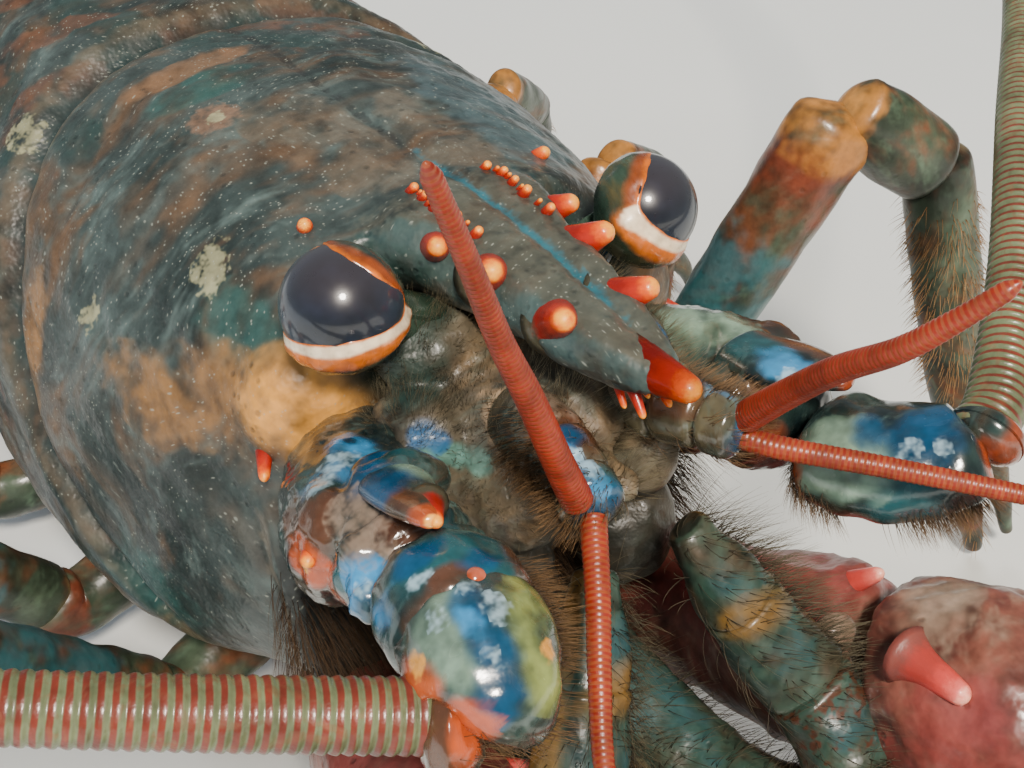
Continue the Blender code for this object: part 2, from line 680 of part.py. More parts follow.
# The walking legs of each side: root, knee, ankle and foot, half thickness at the knee.
LEGS = {
    "right": (
        ((-12.0, 17.0, -47.5), (-49.0, 6.0, -22.0), (-61.0, -2.0, -31.0), (-66.0, -20.0), 3.6),
        ((-13.5, 33.0, -48.0), (-54.0, 28.0, -22.0), (-67.0, 24.0, -32.0), (-74.0, 15.0), 3.4),
        ((-14.0, 49.0, -48.0), (-54.0, 60.0, -22.0), (-66.0, 66.0, -32.0), (-73.0, 72.0), 3.1),
        ((-13.0, 64.0, -47.0), (-45.0, 88.0, -24.0), (-56.0, 100.0, -33.0), (-62.0, 112.0), 2.9),
    ),
    "left": (
        ((12.0, 17.0, -47.5), (46.0, 3.6, -2.4), (56.0, -1.0, -10.0), (64.0, -12.0), 4.1),
        ((13.5, 33.0, -48.0), (50.0, 42.0, -26.0), (62.0, 46.0, -34.0), (69.0, 50.0), 3.4),
        ((14.0, 49.0, -48.0), (50.0, 66.0, -25.0), (61.0, 73.0, -34.0), (68.0, 80.0), 3.1),
        ((13.0, 64.0, -47.0), (44.0, 88.0, -24.0), (55.0, 100.0, -33.0), (61.0, 112.0), 2.9),
    ),
}
# Where the hip lies: share of the way out to the knee, and how far under the root.
HIP_SHARE = 0.36
HIP_DROP = 2.5


def build_leg(name, side, number, sternum, carapace):
    """A walking leg: the thigh up to its knee, and the shank down to a small flat foot."""
    root, knee, ankle, foot, thick = LEGS[name][number]
    root, knee, ankle = Vector(root), Vector(knee), Vector(ankle)
    hip = root.lerp(knee, HIP_SHARE)
    hip.z = root.z - HIP_DROP
    thigh_stations = (
        (tuple(root), thick * 1.05, thick * 1.1), (tuple(hip), thick, thick * 1.05),
        (tuple(hip.lerp(knee, 0.22)), thick * 0.92, thick * 1.05),
        (tuple(hip.lerp(knee, 0.62)), thick * 0.86, thick * 1.08),
        (tuple(hip.lerp(knee, 0.93)), thick * 0.92, thick * 1.12),
        (tuple(knee), thick * 0.72, thick * 0.85),
    )
    upper = limb(f"leg_{name}_{number + 1}_upper", thigh_stations, "leg", sides=8)
    seat(upper, sternum, carapace)
    ground = Vector((*foot, FLOOR))
    shank = ankle.lerp(ground, 0.58)
    shank_stations = (
        (tuple(knee), thick * 0.72, thick * 0.85),
        (tuple(knee.lerp(ankle, 0.4)), thick * 0.9, thick * 1.05),
        (tuple(ankle), thick * 0.82, thick * 0.9),
        (tuple(ankle.lerp(ground, 0.25)), thick * 0.74, thick * 0.84),
        (tuple(shank), thick * 0.62, thick * 0.72),
        (tuple(shank.lerp(ground, 0.5)), thick * 0.42, thick * 0.46),
        (tuple(ground), FOOT_RADIUS, FOOT_RADIUS),
    )
    lower = limb(
        f"leg_{name}_{number + 1}_lower", shank_stations, "leg", sides=8, ends=(None, (0, 0, -1))
    )
    if number < 2:
        outward = Vector((side * 3.4, -1.6, 3.0))
        pincer = spine(
            tuple(shank + outward * 0.2), tuple(ground + outward), thick * 0.42, "leg", 6
        )
        boolean(lower, [pincer], "UNION")
    seat(lower, upper)
    return [upper, lower]


# The tail: half width, height above and below its middle line, pitch in degrees, by segment.
TAIL = ((20.4, 16.0, 13.0, 5.0), (20.6, 15.6, 13.4, 9.0), (20.0, 15.0, 13.0, 14.0),
        (19.0, 14.4, 12.4, 18.0), (17.8, 13.6, 11.6, 21.0), (16.4, 12.4, 9.6, 23.0))
TAIL_START = (92.1, -17.5)
TAIL_SIDES = 20
PLEURA = (0.0, 0.55, 1.0, 0.72, 0.12)


def tail_places():
    """The start, direction and middle line of each tail segment."""
    point = Vector((0, *TAIL_START))
    places = []
    for *_, pitch in TAIL:
        slope = math.radians(pitch)
        step = Vector((0, math.cos(slope), -math.sin(slope)))
        places.append((point.copy(), step))
        point += step * ABDOMEN_STEP
    return places, point


def build_tail_segment(number, place, behind):
    """One ring of the tail, its side flaps hanging to a blunt point, with its swimmerets."""
    half_width, above, below, _ = TAIL[number]
    start, step = place
    rise = Vector((0, step.z * -1.0, step.y))
    rings = []
    for k, drop in enumerate(PLEURA):
        share = k / (len(PLEURA) - 1)
        swell = (0.955, 0.985, 1.0, 1.0, 0.985)[k]
        centre = start + step * (ABDOMEN_STEP * share * 0.975)
        ring = []
        for i in range(TAIL_SIDES):
            angle = math.tau * (i + 0.5) / TAIL_SIDES
            across, high = math.cos(angle), math.sin(angle)
            power = 2.3 if high > 0 else 3.4
            reach = (abs(across) ** power + abs(high) ** power) ** (-1.0 / power)
            x = half_width * swell * across * reach
            lift = (above if high > 0 else below * 0.72) * swell * high * reach
            edge = max(0.0, abs(across) * reach - 0.72) / 0.28 if high < 0 else 0.0
            lift -= edge * drop * below * 0.55
            back = edge * drop * 2.0
            ring.append((centre + Vector((x, 0, 0)) + rise * lift + step * back) * MM)
        rings.append(ring)
    segment = loft(f"tail_segment_{number + 1}", rings, "tail")
    if number < 5:
        flaps = []
        for side in SIDES.values():
            root = start + step * (ABDOMEN_STEP * 0.45) - rise * (below * 0.55)
            root += Vector((side * 9.5, 0, 0))
            tip = root + step * 9.0 - rise * 8.5 + Vector((side * 0.8, 0, 0))
            middle = root.lerp(tip, 0.5)
            flaps.append(limb("swimmeret", (
                (tuple(root), 1.6, 1.2), (tuple(middle), 3.2, 1.0), (tuple(tip), 0.9, 0.5),
            ), "leg", sides=6, up=rise))
        boolean(segment, flaps, "UNION")
    if behind:
        seat(segment, *behind)
    return segment


def build_fan(end, step, last):
    """The telson and, either side of it, the two paddles of the tail fan."""
    floor_y = end.y + 36.0
    stations = (
        (tuple(end - step * 3.0), 8.6, 3.4), (tuple(end + step * 7.0), 9.8, 3.0),
        ((0, end.y + 16.0, FLOOR + 7.4), 9.8, 2.4), ((0, end.y + 26.0, FLOOR + 3.4), 9.0, 1.9),
        ((0, floor_y - 3.0, FLOOR + 1.2), 7.4, 1.4), ((0, floor_y, FLOOR + 0.8), 4.8, 1.1),
    )
    telson = limb("telson", stations, "tail", sides=14, power=2.6)
    to_floor(telson)
    seat(telson, last)
    pieces = [telson]
    for name, side in SIDES.items():
        root = end + Vector((side * 11.0, -2.0, -3.0))
        inner = limb(f"tail_fan_{name}", (
            (tuple(root), 4.0, 3.2), ((side * 15.0, end.y + 6.0, FLOOR + 9.4), 5.6, 2.6),
            ((side * 18.6, end.y + 15.0, FLOOR + 5.0), 7.8, 2.0),
            ((side * 21.0, end.y + 25.0, FLOOR + 2.4), 8.6, 1.6),
            ((side * 22.0, end.y + 32.0, FLOOR + 1.1), 7.2, 1.3),
            ((side * 22.4, end.y + 35.6, FLOOR + 0.8), 4.0, 1.1),
        ), "tail", sides=12, power=2.6)
        outer = limb("outer_paddle", (
            (tuple(root + Vector((side * 1.0, 0.6, 0.4))), 3.6, 2.8),
            ((side * 21.0, end.y + 3.0, FLOOR + 9.0), 5.4, 2.4),
            ((side * 30.0, end.y + 9.4, FLOOR + 4.8), 7.6, 1.9),
            ((side * 36.0, end.y + 16.6, FLOOR + 2.4), 8.4, 1.5),
            ((side * 40.4, end.y + 22.4, FLOOR + 1.1), 7.4, 1.3),
            ((side * 42.8, end.y + 25.8, FLOOR + 0.8), 4.4, 1.1),
        ), "tail", sides=12, power=2.6)
        boolean(inner, [outer], "UNION")
        to_floor(inner)
        seat(inner, last, telson)
        pieces.append(inner)
    return pieces


def stand_at_origin():
    """Move every piece so that the box of the whole stands on Z = 0 over the origin."""
    corners = [v.co for obj in LOBSTER.objects for v in obj.data.vertices]
    low = Vector([min(c[i] for c in corners) for i in range(3)])
    high = Vector([max(c[i] for c in corners) for i in range(3)])
    shift = Matrix.Translation((-(low.x + high.x) / 2, -(low.y + high.y) / 2, -low.z))
    for obj in LOBSTER.objects:
        obj.data.transform(shift)


def build_lobster():
    """Build every piece from the head back, each cut clear of what it grows from."""
    carapace = build_carapace()
    face = build_face(carapace)
    sternum = build_sternum(carapace)
    for name, side in SIDES.items():
        _, stalk = build_eye(name, side, carapace, face)
        build_antennule(name, face, carapace, stalk)
        build_antenna(name, side, face, carapace)
        maxilliped = build_maxilliped(name, side, face, carapace, sternum)
        build_claw(name, side, sternum, carapace, maxilliped)
        for number in range(4):
            build_leg(name, side, number, sternum, carapace)
    places, end = tail_places()
    behind = [carapace, sternum]
    for number, place in enumerate(places):
        segment = build_tail_segment(number, place, behind)
        behind = [segment]
    build_fan(end, places[-1][1], behind[0])
    stand_at_origin()


clear_scene()
bpy.context.scene.collection.children.link(LOBSTER)
build_lobster()
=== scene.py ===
"""The looks of a still American lobster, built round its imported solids.

Shapes are laid out in millimetres in the animal's own frame: the origin lies between the
orbits, the head faces -Y and the animal's left is +X. `Body` carries them to the row frame.
"""

import json
import logging
import math
from dataclasses import dataclass, field, replace
from enum import Enum

import bpy
import numpy as np
from mathutils import Matrix, Vector

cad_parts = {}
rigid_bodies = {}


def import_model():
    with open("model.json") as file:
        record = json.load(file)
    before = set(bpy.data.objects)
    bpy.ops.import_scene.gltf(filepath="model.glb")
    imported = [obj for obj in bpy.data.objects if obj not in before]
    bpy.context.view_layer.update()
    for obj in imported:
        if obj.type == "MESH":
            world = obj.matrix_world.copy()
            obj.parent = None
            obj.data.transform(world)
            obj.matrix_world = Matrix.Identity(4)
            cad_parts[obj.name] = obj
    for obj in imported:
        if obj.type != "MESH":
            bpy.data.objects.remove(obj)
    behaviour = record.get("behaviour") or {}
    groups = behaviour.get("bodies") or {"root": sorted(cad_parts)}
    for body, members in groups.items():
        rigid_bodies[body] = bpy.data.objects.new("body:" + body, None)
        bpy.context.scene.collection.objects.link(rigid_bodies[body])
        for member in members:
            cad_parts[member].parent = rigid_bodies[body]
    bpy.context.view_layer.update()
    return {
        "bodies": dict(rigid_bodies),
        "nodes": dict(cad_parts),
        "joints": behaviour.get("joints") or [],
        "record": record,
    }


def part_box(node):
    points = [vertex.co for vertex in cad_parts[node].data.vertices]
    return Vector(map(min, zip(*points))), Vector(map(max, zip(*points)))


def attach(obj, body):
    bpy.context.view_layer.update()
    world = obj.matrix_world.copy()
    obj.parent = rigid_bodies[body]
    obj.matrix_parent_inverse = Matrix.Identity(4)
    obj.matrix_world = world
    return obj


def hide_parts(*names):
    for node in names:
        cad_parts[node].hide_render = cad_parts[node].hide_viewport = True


MM = 0.001
FLOOR = -57.9
SEED = 41
LOG = logging.getLogger("lobster")
SIDES = {"right": -1.0, "left": 1.0}
Point = tuple[float, float, float]
Station = tuple[Point, float, float]


class Slot(Enum):
    """The record's material slots."""

    SHELL = "shell"
    BELLY = "belly"
    FACE = "face"
    STALK = "eye_stalk"
    CORNEA = "cornea"
    FEELER = "feeler_base"
    LASH = "feeler_lash"
    CLAW = "claw"
    LEG = "leg"
    TAIL = "tail"


@dataclass(frozen=True)
class Profile:
    """A smooth value along a line, through (place, value) pairs."""

    pairs: tuple[tuple[float, float], ...]

    def __call__(self, where: np.ndarray | float) -> np.ndarray:
        """Read the profile.

        Args:
            where: Places along the line.

        Returns:
            The values there, held level past either end.
        """
        places, values = np.array(self.pairs, float).T
        spot = np.clip(np.asarray(where, float), places[0], places[-1])
        k = np.clip(np.searchsorted(places, spot) - 1, 0, len(places) - 2)
        before, after = np.maximum(k - 1, 0), np.minimum(k + 2, len(places) - 1)
        span = places[k + 1] - places[k]
        slope_in = (values[k + 1] - values[before]) / (places[k + 1] - places[before])
        slope_out = (values[after] - values[k]) / (places[after] - places[k])
        t = (spot - places[k]) / span
        return (
            values[k] * (2 * t**3 - 3 * t**2 + 1)
            + values[k + 1] * (3 * t**2 - 2 * t**3)
            + span * (slope_in * (t**3 - 2 * t**2 + t) + slope_out * (t**3 - t**2))
        )


@dataclass
class Surface:
    """A mesh under construction, in millimetres of the animal's frame."""

    points: np.ndarray
    quads: np.ndarray
    tris: np.ndarray = field(default_factory=lambda: np.zeros((0, 3), int))
    masks: dict[str, np.ndarray] = field(default_factory=dict)

    @classmethod
    def grid(
        cls,
        points: np.ndarray,
        closed: bool = True,
        caps: bool = True,
        masks: dict[str, np.ndarray] | None = None,
    ) -> "Surface":
        """Skin a grid of points.

        Args:
            points: Array of rows, columns and three coordinates.
            closed: Whether each row is a closed ring.
            caps: Whether the first and last rings are closed by a fan.
            masks: Values for each grid point, by name.

        Returns:
            The surface.
        """
        rows, cols = points.shape[:2]
        index = np.arange(rows * cols).reshape(rows, cols)
        right = np.roll(index, -1, 1) if closed else index[:, 1:]
        left = index if closed else index[:, :-1]
        quads = np.stack([left[:-1], right[:-1], right[1:], left[1:]], -1).reshape(-1, 4)
        flat = points.reshape(-1, 3)
        tris = np.zeros((0, 3), int)
        values = {k: np.asarray(v, float).reshape(-1) for k, v in (masks or {}).items()}
        if closed and caps:
            hubs = np.array([points[0].mean(0), points[-1].mean(0)])
            first, last = len(flat), len(flat) + 1
            tris = np.concatenate([
                np.stack([right[0], index[0], np.full(cols, first)], -1),
                np.stack([index[-1], right[-1], np.full(cols, last)], -1),
            ])
            flat = np.concatenate([flat, hubs])
            values = {k: np.append(v, [v[:cols].mean(), v[-cols:].mean()]) for k, v in values.items()}
        made = cls(flat, quads, tris, values)
        return made.flipped() if len(tris) and made.volume() < 0 else made

    def volume(self) -> float:
        """Signed volume: above 0 where the faces look outward."""
        fans = np.concatenate([self.quads[:, [0, 1, 2]], self.quads[:, [0, 2, 3]], self.tris])
        a, b, c = (self.points[fans[:, i]] for i in range(3))
        return float(np.einsum("ij,ij->i", a, np.cross(b, c)).sum() / 6)

    def flipped(self) -> "Surface":
        """The same surface with its faces turned round."""
        return replace(self, quads=self.quads[:, ::-1], tris=self.tris[:, ::-1])

    @classmethod
    def joined(cls, parts: list["Surface"]) -> "Surface":
        """Gather several surfaces in one mesh.

        Args:
            parts: The surfaces. A mask that one of them lacks is 0 there.

        Returns:
            One surface that holds them all.
        """
        starts = np.cumsum([0] + [len(p.points) for p in parts])
        names = {n for p in parts for n in p.masks}
        return cls(
            np.concatenate([p.points for p in parts]),
            np.concatenate([p.quads + s for p, s in zip(parts, starts)]),
            np.concatenate([p.tris + s for p, s in zip(parts, starts)]),
            {n: np.concatenate([p.masks.get(n, np.zeros(len(p.points))) for p in parts]) for n in names},
        )

    def mesh(self, name: str, origin: np.ndarray, scale: float) -> bpy.types.Mesh:
        """Write the surface to a Blender mesh.

        Args:
            name: The mesh's name.
            origin: Where the frame's origin goes.
            scale: Units for each millimetre.

        Returns:
            The mesh, smooth shaded, with its masks as point attributes.
        """
        mesh = bpy.data.meshes.new(name)
        mesh.vertices.add(len(self.points))
        mesh.vertices.foreach_set("co", (origin + self.points * scale).astype(np.float32).ravel())
        loops = np.concatenate([self.quads.ravel(), self.tris.ravel()]).astype(np.int32)
        sizes = np.concatenate([np.full(len(self.quads), 4), np.full(len(self.tris), 3)])
        mesh.loops.add(len(loops))
        mesh.loops.foreach_set("vertex_index", loops)
        mesh.polygons.add(len(sizes))
        mesh.polygons.foreach_set("loop_start", (np.cumsum(sizes) - sizes).astype(np.int32))
        mesh.update(calc_edges=True)
        mesh.validate()
        mesh.shade_smooth()
        for key, values in self.masks.items():
            layer = mesh.attributes.new(key, "FLOAT", "POINT")
            layer.data.foreach_set("value", np.clip(values, -10, 10).astype(np.float32))
        return mesh

    @classmethod
    def read(cls, mesh: bpy.types.Mesh) -> "Surface":
        """Read a Blender mesh of quads and triangles back as a surface.

        Args:
            mesh: The mesh.

        Returns:
            Its surface, without masks.
        """
        points = np.empty(len(mesh.vertices) * 3)
        mesh.vertices.foreach_get("co", points)
        starts = np.empty(len(mesh.polygons), int)
        sizes = np.empty(len(mesh.polygons), int)
        loops = np.empty(len(mesh.loops), int)
        mesh.polygons.foreach_get("loop_start", starts)
        mesh.polygons.foreach_get("loop_total", sizes)
        mesh.loops.foreach_get("vertex_index", loops)
        quads = loops[starts[sizes == 4][:, None] + np.arange(4)]
        tris = loops[starts[sizes == 3][:, None] + np.arange(3)]
        return cls(points.reshape(-1, 3), quads.reshape(-1, 4), tris.reshape(-1, 3))

    def normals(self) -> np.ndarray:
        """Unit normals at the points, from the faces around each."""
        out = np.zeros_like(self.points)
        for faces in (self.quads, self.tris):
            if not len(faces):
                continue
            a, b, c = (self.points[faces[:, i]] for i in (0, 1, 2))
            d = self.points[faces[:, -1]]
            face = np.cross(c - a, d - b) if faces.shape[1] == 4 else np.cross(b - a, c - a)
            for i in range(faces.shape[1]):
                np.add.at(out, faces[:, i], face)
        return out / np.maximum(np.linalg.norm(out, axis=1), 1e-12)[:, None]

    def pushed(self, height: np.ndarray) -> "Surface":
        """Move each point along its normal.

        Args:
            height: How far, in millimetres, for each point.

        Returns:
            The surface with its relief.
        """
        return replace(self, points=self.points + self.normals() * height[:, None])

    def kept(self, keep: np.ndarray) -> "Surface":
        """Leave out every face that touches a point which isn't kept.

        Args:
            keep: True for each point to keep.

        Returns:
            The smaller surface.
        """
        quads = self.quads[keep[self.quads].all(1)]
        tris = self.tris[keep[self.tris].all(1)] if len(self.tris) else self.tris
        used = np.zeros(len(self.points), bool)
        used[quads.ravel()] = True
        used[tris.ravel()] = True
        new = np.cumsum(used) - 1
        masks = {k: v[used] for k, v in self.masks.items()}
        return Surface(self.points[used], new[quads], new[tris] if len(tris) else tris, masks)


def lumps(points: np.ndarray, size: float, seed: int = 0) -> np.ndarray:
    """Smooth rolling values over space, from a few crossed waves.

    Args:
        points: Places, in millimetres.
        size: Rough width of a lump, in millimetres.
        seed: Which set of waves.

    Returns:
        Values from about -1 to 1.
    """
    rng = np.random.default_rng(SEED + seed)
    total = np.zeros(len(points))
    for _ in range(7):
        way = rng.normal(size=3)
        way *= rng.uniform(0.7, 1.5) * math.tau / (2 * size) / np.linalg.norm(way)
        total += np.sin(points @ way + rng.uniform(0, math.tau))
    return total / 3.2


def near(points: np.ndarray, spot: Point, reach: float | Point, soft: float = 0.5) -> np.ndarray:
    """How much each place belongs to a soft-edged spot.

    Args:
        points: Places, in millimetres.
        spot: The middle of the spot.
        reach: Its radius, or its radii along the three axes.
        soft: Share of the radius over which it fades.

    Returns:
        1 inside the spot and 0 outside.
    """
    away = np.linalg.norm((points - np.array(spot)) / np.array(reach), axis=1)
    return smooth(1.0 + soft / 2, 1.0 - soft / 2, away)


def patches(points: np.ndarray, *spots: tuple) -> np.ndarray:
    """The strongest of several soft spots, each told as `near` takes it."""
    return np.maximum.reduce([near(points, *spot) for spot in spots])


def smooth(low: float, high: float, value: np.ndarray) -> np.ndarray:
    """A smooth step from 0 at `low` to 1 at `high`."""
    t = np.clip((value - low) / (high - low), 0, 1)
    return t * t * (3 - 2 * t)


def catmull(keys: np.ndarray, steps: int) -> np.ndarray:
    """A smooth line through keys of any number of values.

    Args:
        keys: One row for each key.
        steps: Stretches between each two keys.

    Returns:
        The rows of the smooth line.
    """
    padded = np.vstack([2 * keys[0] - keys[1], keys, 2 * keys[-1] - keys[-2]])
    a, b, c, d = (padded[i : len(padded) - 3 + i, None] for i in range(4))
    t = (np.arange(steps) / steps)[None, :, None]
    line = 0.5 * (2 * b + (c - a) * t + (2 * a - 5 * b + 4 * c - d) * t**2 + (3 * b - a - 3 * c + d) * t**3)
    return np.vstack([line.reshape(-1, keys.shape[1]), keys[-1]])


@dataclass(frozen=True)
class Limb:
    """A jointed piece of limb: a sweep through stations (point, half width, half height)."""

    stations: tuple[Station, ...]
    up: Point = (0.0, 0.0, 1.0)
    power: float = 2.0
    sides: int = 40
    steps: int = 12
    round_start: float = 0.6
    round_end: float = 0.6
    collar: float = 0.05
    ends: tuple[Point | None, Point | None] = (None, None)

    def frames(self) -> tuple[np.ndarray, np.ndarray, np.ndarray, np.ndarray]:
        """Points, side vectors, rise vectors and half sizes along the smooth line."""
        keys = np.array([(*p, w, h) for p, w, h in self.stations], float)
        line = catmull(keys, self.steps)
        way = np.gradient(line[:, :3], axis=0)
        if self.ends[0] is not None:
            way[0] = self.ends[0]
        if self.ends[1] is not None:
            way[-1] = self.ends[1]
        way /= np.linalg.norm(way, axis=1)[:, None]
        side = np.cross(way, np.array(self.up))
        side /= np.linalg.norm(side, axis=1)[:, None]
        return line[:, :3], side, np.cross(side, way), np.maximum(line[:, 3:], 0.15)

    def surface(self) -> Surface:
        """Skin the limb, its ends rounded off and a faint collar before each end.

        Returns:
            A closed surface with the masks `along`, `around` and `top`.
        """
        spots, side, rise, half = self.frames()
        gaps = np.linalg.norm(np.diff(spots, axis=0), axis=1)
        length = np.append(0, np.cumsum(gaps))
        share = length / length[-1]
        swell = 1 + self.collar * (np.exp(-(((share - 0.07) / 0.05) ** 2)) + np.exp(-(((share - 0.93) / 0.05) ** 2)))
        half = half * swell[:, None]
        first, last = self.round_start * half[0].min(), self.round_end * half[-1].min()
        curve = 1 - np.cos(np.linspace(0.15, math.pi / 2, 7))
        inner = length[(length > first * 1.08) & (length < length[-1] - last * 1.08)]
        rows = np.concatenate([first * curve, inner, length[-1] - last * curve[::-1]])
        spots, side, rise = (
            np.stack([np.interp(rows, length, v[:, i]) for i in range(3)], -1) for v in (spots, side, rise)
        )
        half = np.stack([np.interp(rows, length, half[:, i]) for i in range(2)], -1)
        inward = np.maximum(1 - rows / first, 1 - (length[-1] - rows) / last).clip(0, 1)
        half = half * np.sqrt(1 - inward**2)[:, None]
        angles = math.tau * np.arange(self.sides) / self.sides
        across, high = np.cos(angles), np.sin(angles)
        reach = (abs(across) ** self.power + abs(high) ** self.power) ** (-1 / self.power)
        grid = spots[:, None] + side[:, None] * (half[:, :1] * across * reach)[..., None]
        grid = (grid + rise[:, None] * (half[:, 1:] * high * reach)[..., None])[:, ::-1]
        mask = rows / length[-1]
        count = len(rows)
        return Surface.grid(
            grid,
            masks={
                "along": np.repeat(mask[:, None], self.sides, 1),
                "around": np.repeat((angles / math.tau)[::-1][None], count, 0),
                "top": np.repeat(((high * reach + 1) / 2)[::-1][None], count, 0),
            },
        )


@dataclass(frozen=True)
class Spine:
    """A spine or tubercle from its root to its tip, flared at the root and rounded at the tip."""

    root: Point
    tip: Point
    radius: float
    blunt: float = 0.3
    flare: float = 0.55
    bend: float = 0.0
    sides: int = 20

    def surface(self) -> Surface:
        """Skin the spine.

        Returns:
            A closed surface with the mask `tip`, 0 at the root and 1 at the tip.
        """
        start, end = np.array(self.root, float), np.array(self.tip, float)
        axis = end - start
        length = np.linalg.norm(axis)
        axis /= length
        side = np.cross(axis, (0.13, 0.31, 0.94))
        side /= np.linalg.norm(side)
        rise = np.cross(axis, side)
        share = np.concatenate([np.linspace(0, 0.9, 14), 1 - 0.1 * (1 - np.sin(np.linspace(0.25, math.pi / 2, 6)))])
        taper = 1 - (1 - self.blunt) * share**1.15
        taper += self.flare * np.exp(-share / 0.12)
        dome = np.sqrt(np.clip(1 - (np.clip(share - 0.88, 0, None) / 0.12) ** 2, 0.0, 1))
        radius = self.radius * taper * np.maximum(dome, 0.03)
        angles = -math.tau * np.arange(self.sides) / self.sides
        ring = side * np.cos(angles)[:, None] + rise * np.sin(angles)[:, None]
        lean = rise * (self.bend * length)
        grid = (
            start
            + (axis * (share * length)[:, None] + lean * (share**2)[:, None])[:, None]
            + ring[None] * radius[:, None, None]
        )
        mask = np.repeat(share[:, None], self.sides, 1)
        return Surface.grid(grid, masks={"tip": mask})


@dataclass
class Body:
    """Places finished surfaces in the row frame as pieces of the model."""

    shift: np.ndarray
    made: list[str] = field(default_factory=list)

    @classmethod
    def from_frame(cls) -> "Body":
        """Find the animal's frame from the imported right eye.

        Returns:
            The body.
        """
        low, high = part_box("eye_right")
        middle = (np.array(low) + np.array(high)) / 2
        return cls(middle - np.array(EYES["right"]) * MM)

    def point(self, spot: Point) -> Vector:
        """A point of the animal's frame in the row frame."""
        return Vector(self.shift + np.array(spot) * MM)

    def piece(
        self,
        name: str,
        surface: Surface,
        material: bpy.types.Material,
        slot: Slot,
        nodes: tuple[str, ...] = (),
    ) -> bpy.types.Object:
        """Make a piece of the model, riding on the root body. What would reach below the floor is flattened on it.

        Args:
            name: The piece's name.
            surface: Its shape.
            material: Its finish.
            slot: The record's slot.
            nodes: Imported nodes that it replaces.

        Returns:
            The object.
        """
        surface.points[:, 2] = np.maximum(surface.points[:, 2], FLOOR)
        mesh = surface.mesh(name, self.shift, MM)
        return self.adopt(name, mesh, material, slot, nodes)

    def adopt(
        self,
        name: str,
        mesh: bpy.types.Mesh,
        material: bpy.types.Material,
        slot: Slot,
        nodes: tuple[str, ...] = (),
    ) -> bpy.types.Object:
        """Make a piece from a mesh that is already in the row frame."""
        mesh.materials.clear()
        mesh.materials.append(material)
        taken = name in bpy.data.objects
        obj = placed(f"{name}_skin" if taken else name, mesh)
        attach(obj, "root")
        if nodes:
            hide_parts(*nodes)
        self.made.append(name)
        LOG.info("%s: %d faces", name, len(mesh.polygons))
        return obj


def placed(name: str, data: bpy.types.ID) -> bpy.types.Object:
    """A new object at the scene's origin."""
    obj = bpy.data.objects.new(name, data)
    bpy.context.scene.collection.objects.link(obj)
    return obj


def softened(surface: Surface, weight: np.ndarray, rounds: int) -> Surface:
    """Ease a surface towards the mean of each point's neighbours.

    Args:
        surface: What to ease.
        weight: How much each point is eased, 0 to 1.
        rounds: How many times.

    Returns:
        The eased surface.
    """
    pairs = [
        surface.quads[:, [k, (k + 1) % 4]] for k in range(4)
    ] + [surface.tris[:, [k, (k + 1) % 3]] for k in range(3)]
    pairs = np.concatenate(pairs)
    near_end, far_end = pairs.T
    count = np.bincount(pairs.ravel(), minlength=len(surface.points)).clip(1)
    points = surface.points.copy()
    for _ in range(rounds):
        total = [
            np.bincount(
                near_end, points[far_end, axis], len(points)
            ) + np.bincount(far_end, points[near_end, axis], len(points))
            for axis in range(3)
        ]
        points += (np.stack(total, -1) / count[:, None] - points) * (0.6 * weight)[:, None]
    return replace(surface, points=points)


def fused(parts: list[Surface], voxel: float, rounds: int = 4) -> Surface:
    """Melt closed surfaces together into one skin.

    Args:
        parts: The surfaces.
        voxel: Size of the new faces, in millimetres.
        rounds: How many times the skin is smoothed.

    Returns:
        The skin, of even quads.
    """
    mesh = Surface.joined([replace(p, masks={}) for p in parts]).mesh("melt", np.zeros(3), 1.0)
    obj = placed("melt", mesh)
    remesh = obj.modifiers.new("skin", "REMESH")
    remesh.mode = "VOXEL"
    remesh.voxel_size = voxel
    relax = obj.modifiers.new("relax", "SMOOTH")
    relax.factor = 0.5
    relax.iterations = rounds
    melted = plain(obj)
    out = Surface.read(melted)
    bpy.data.objects.remove(obj)
    bpy.data.meshes.remove(melted)
    return out


def plain(obj: bpy.types.Object) -> bpy.types.Mesh:
    """The mesh that an object's modifiers make, as a plain mesh of its own."""
    bpy.context.view_layer.update()
    graph = bpy.context.evaluated_depsgraph_get()
    return bpy.data.meshes.new_from_object(obj.evaluated_get(graph))


def tone(code: int, strength: float = 1.0) -> tuple[float, float, float, float]:
    """A display colour such as 0x8a6b4f as a linear one.

    Args:
        code: The colour, two hexadecimal digits for each of red, green and blue.
        strength: Factor on its brightness.

    Returns:
        Linear red, green, blue and alpha.
    """
    parts = [((code >> shift) & 255) / 255 for shift in (16, 8, 0)]
    linear = [p / 12.92 if p <= 0.04045 else ((p + 0.055) / 1.055) ** 2.4 for p in parts]
    return (*[min(1.0, c * strength) for c in linear], 1.0)


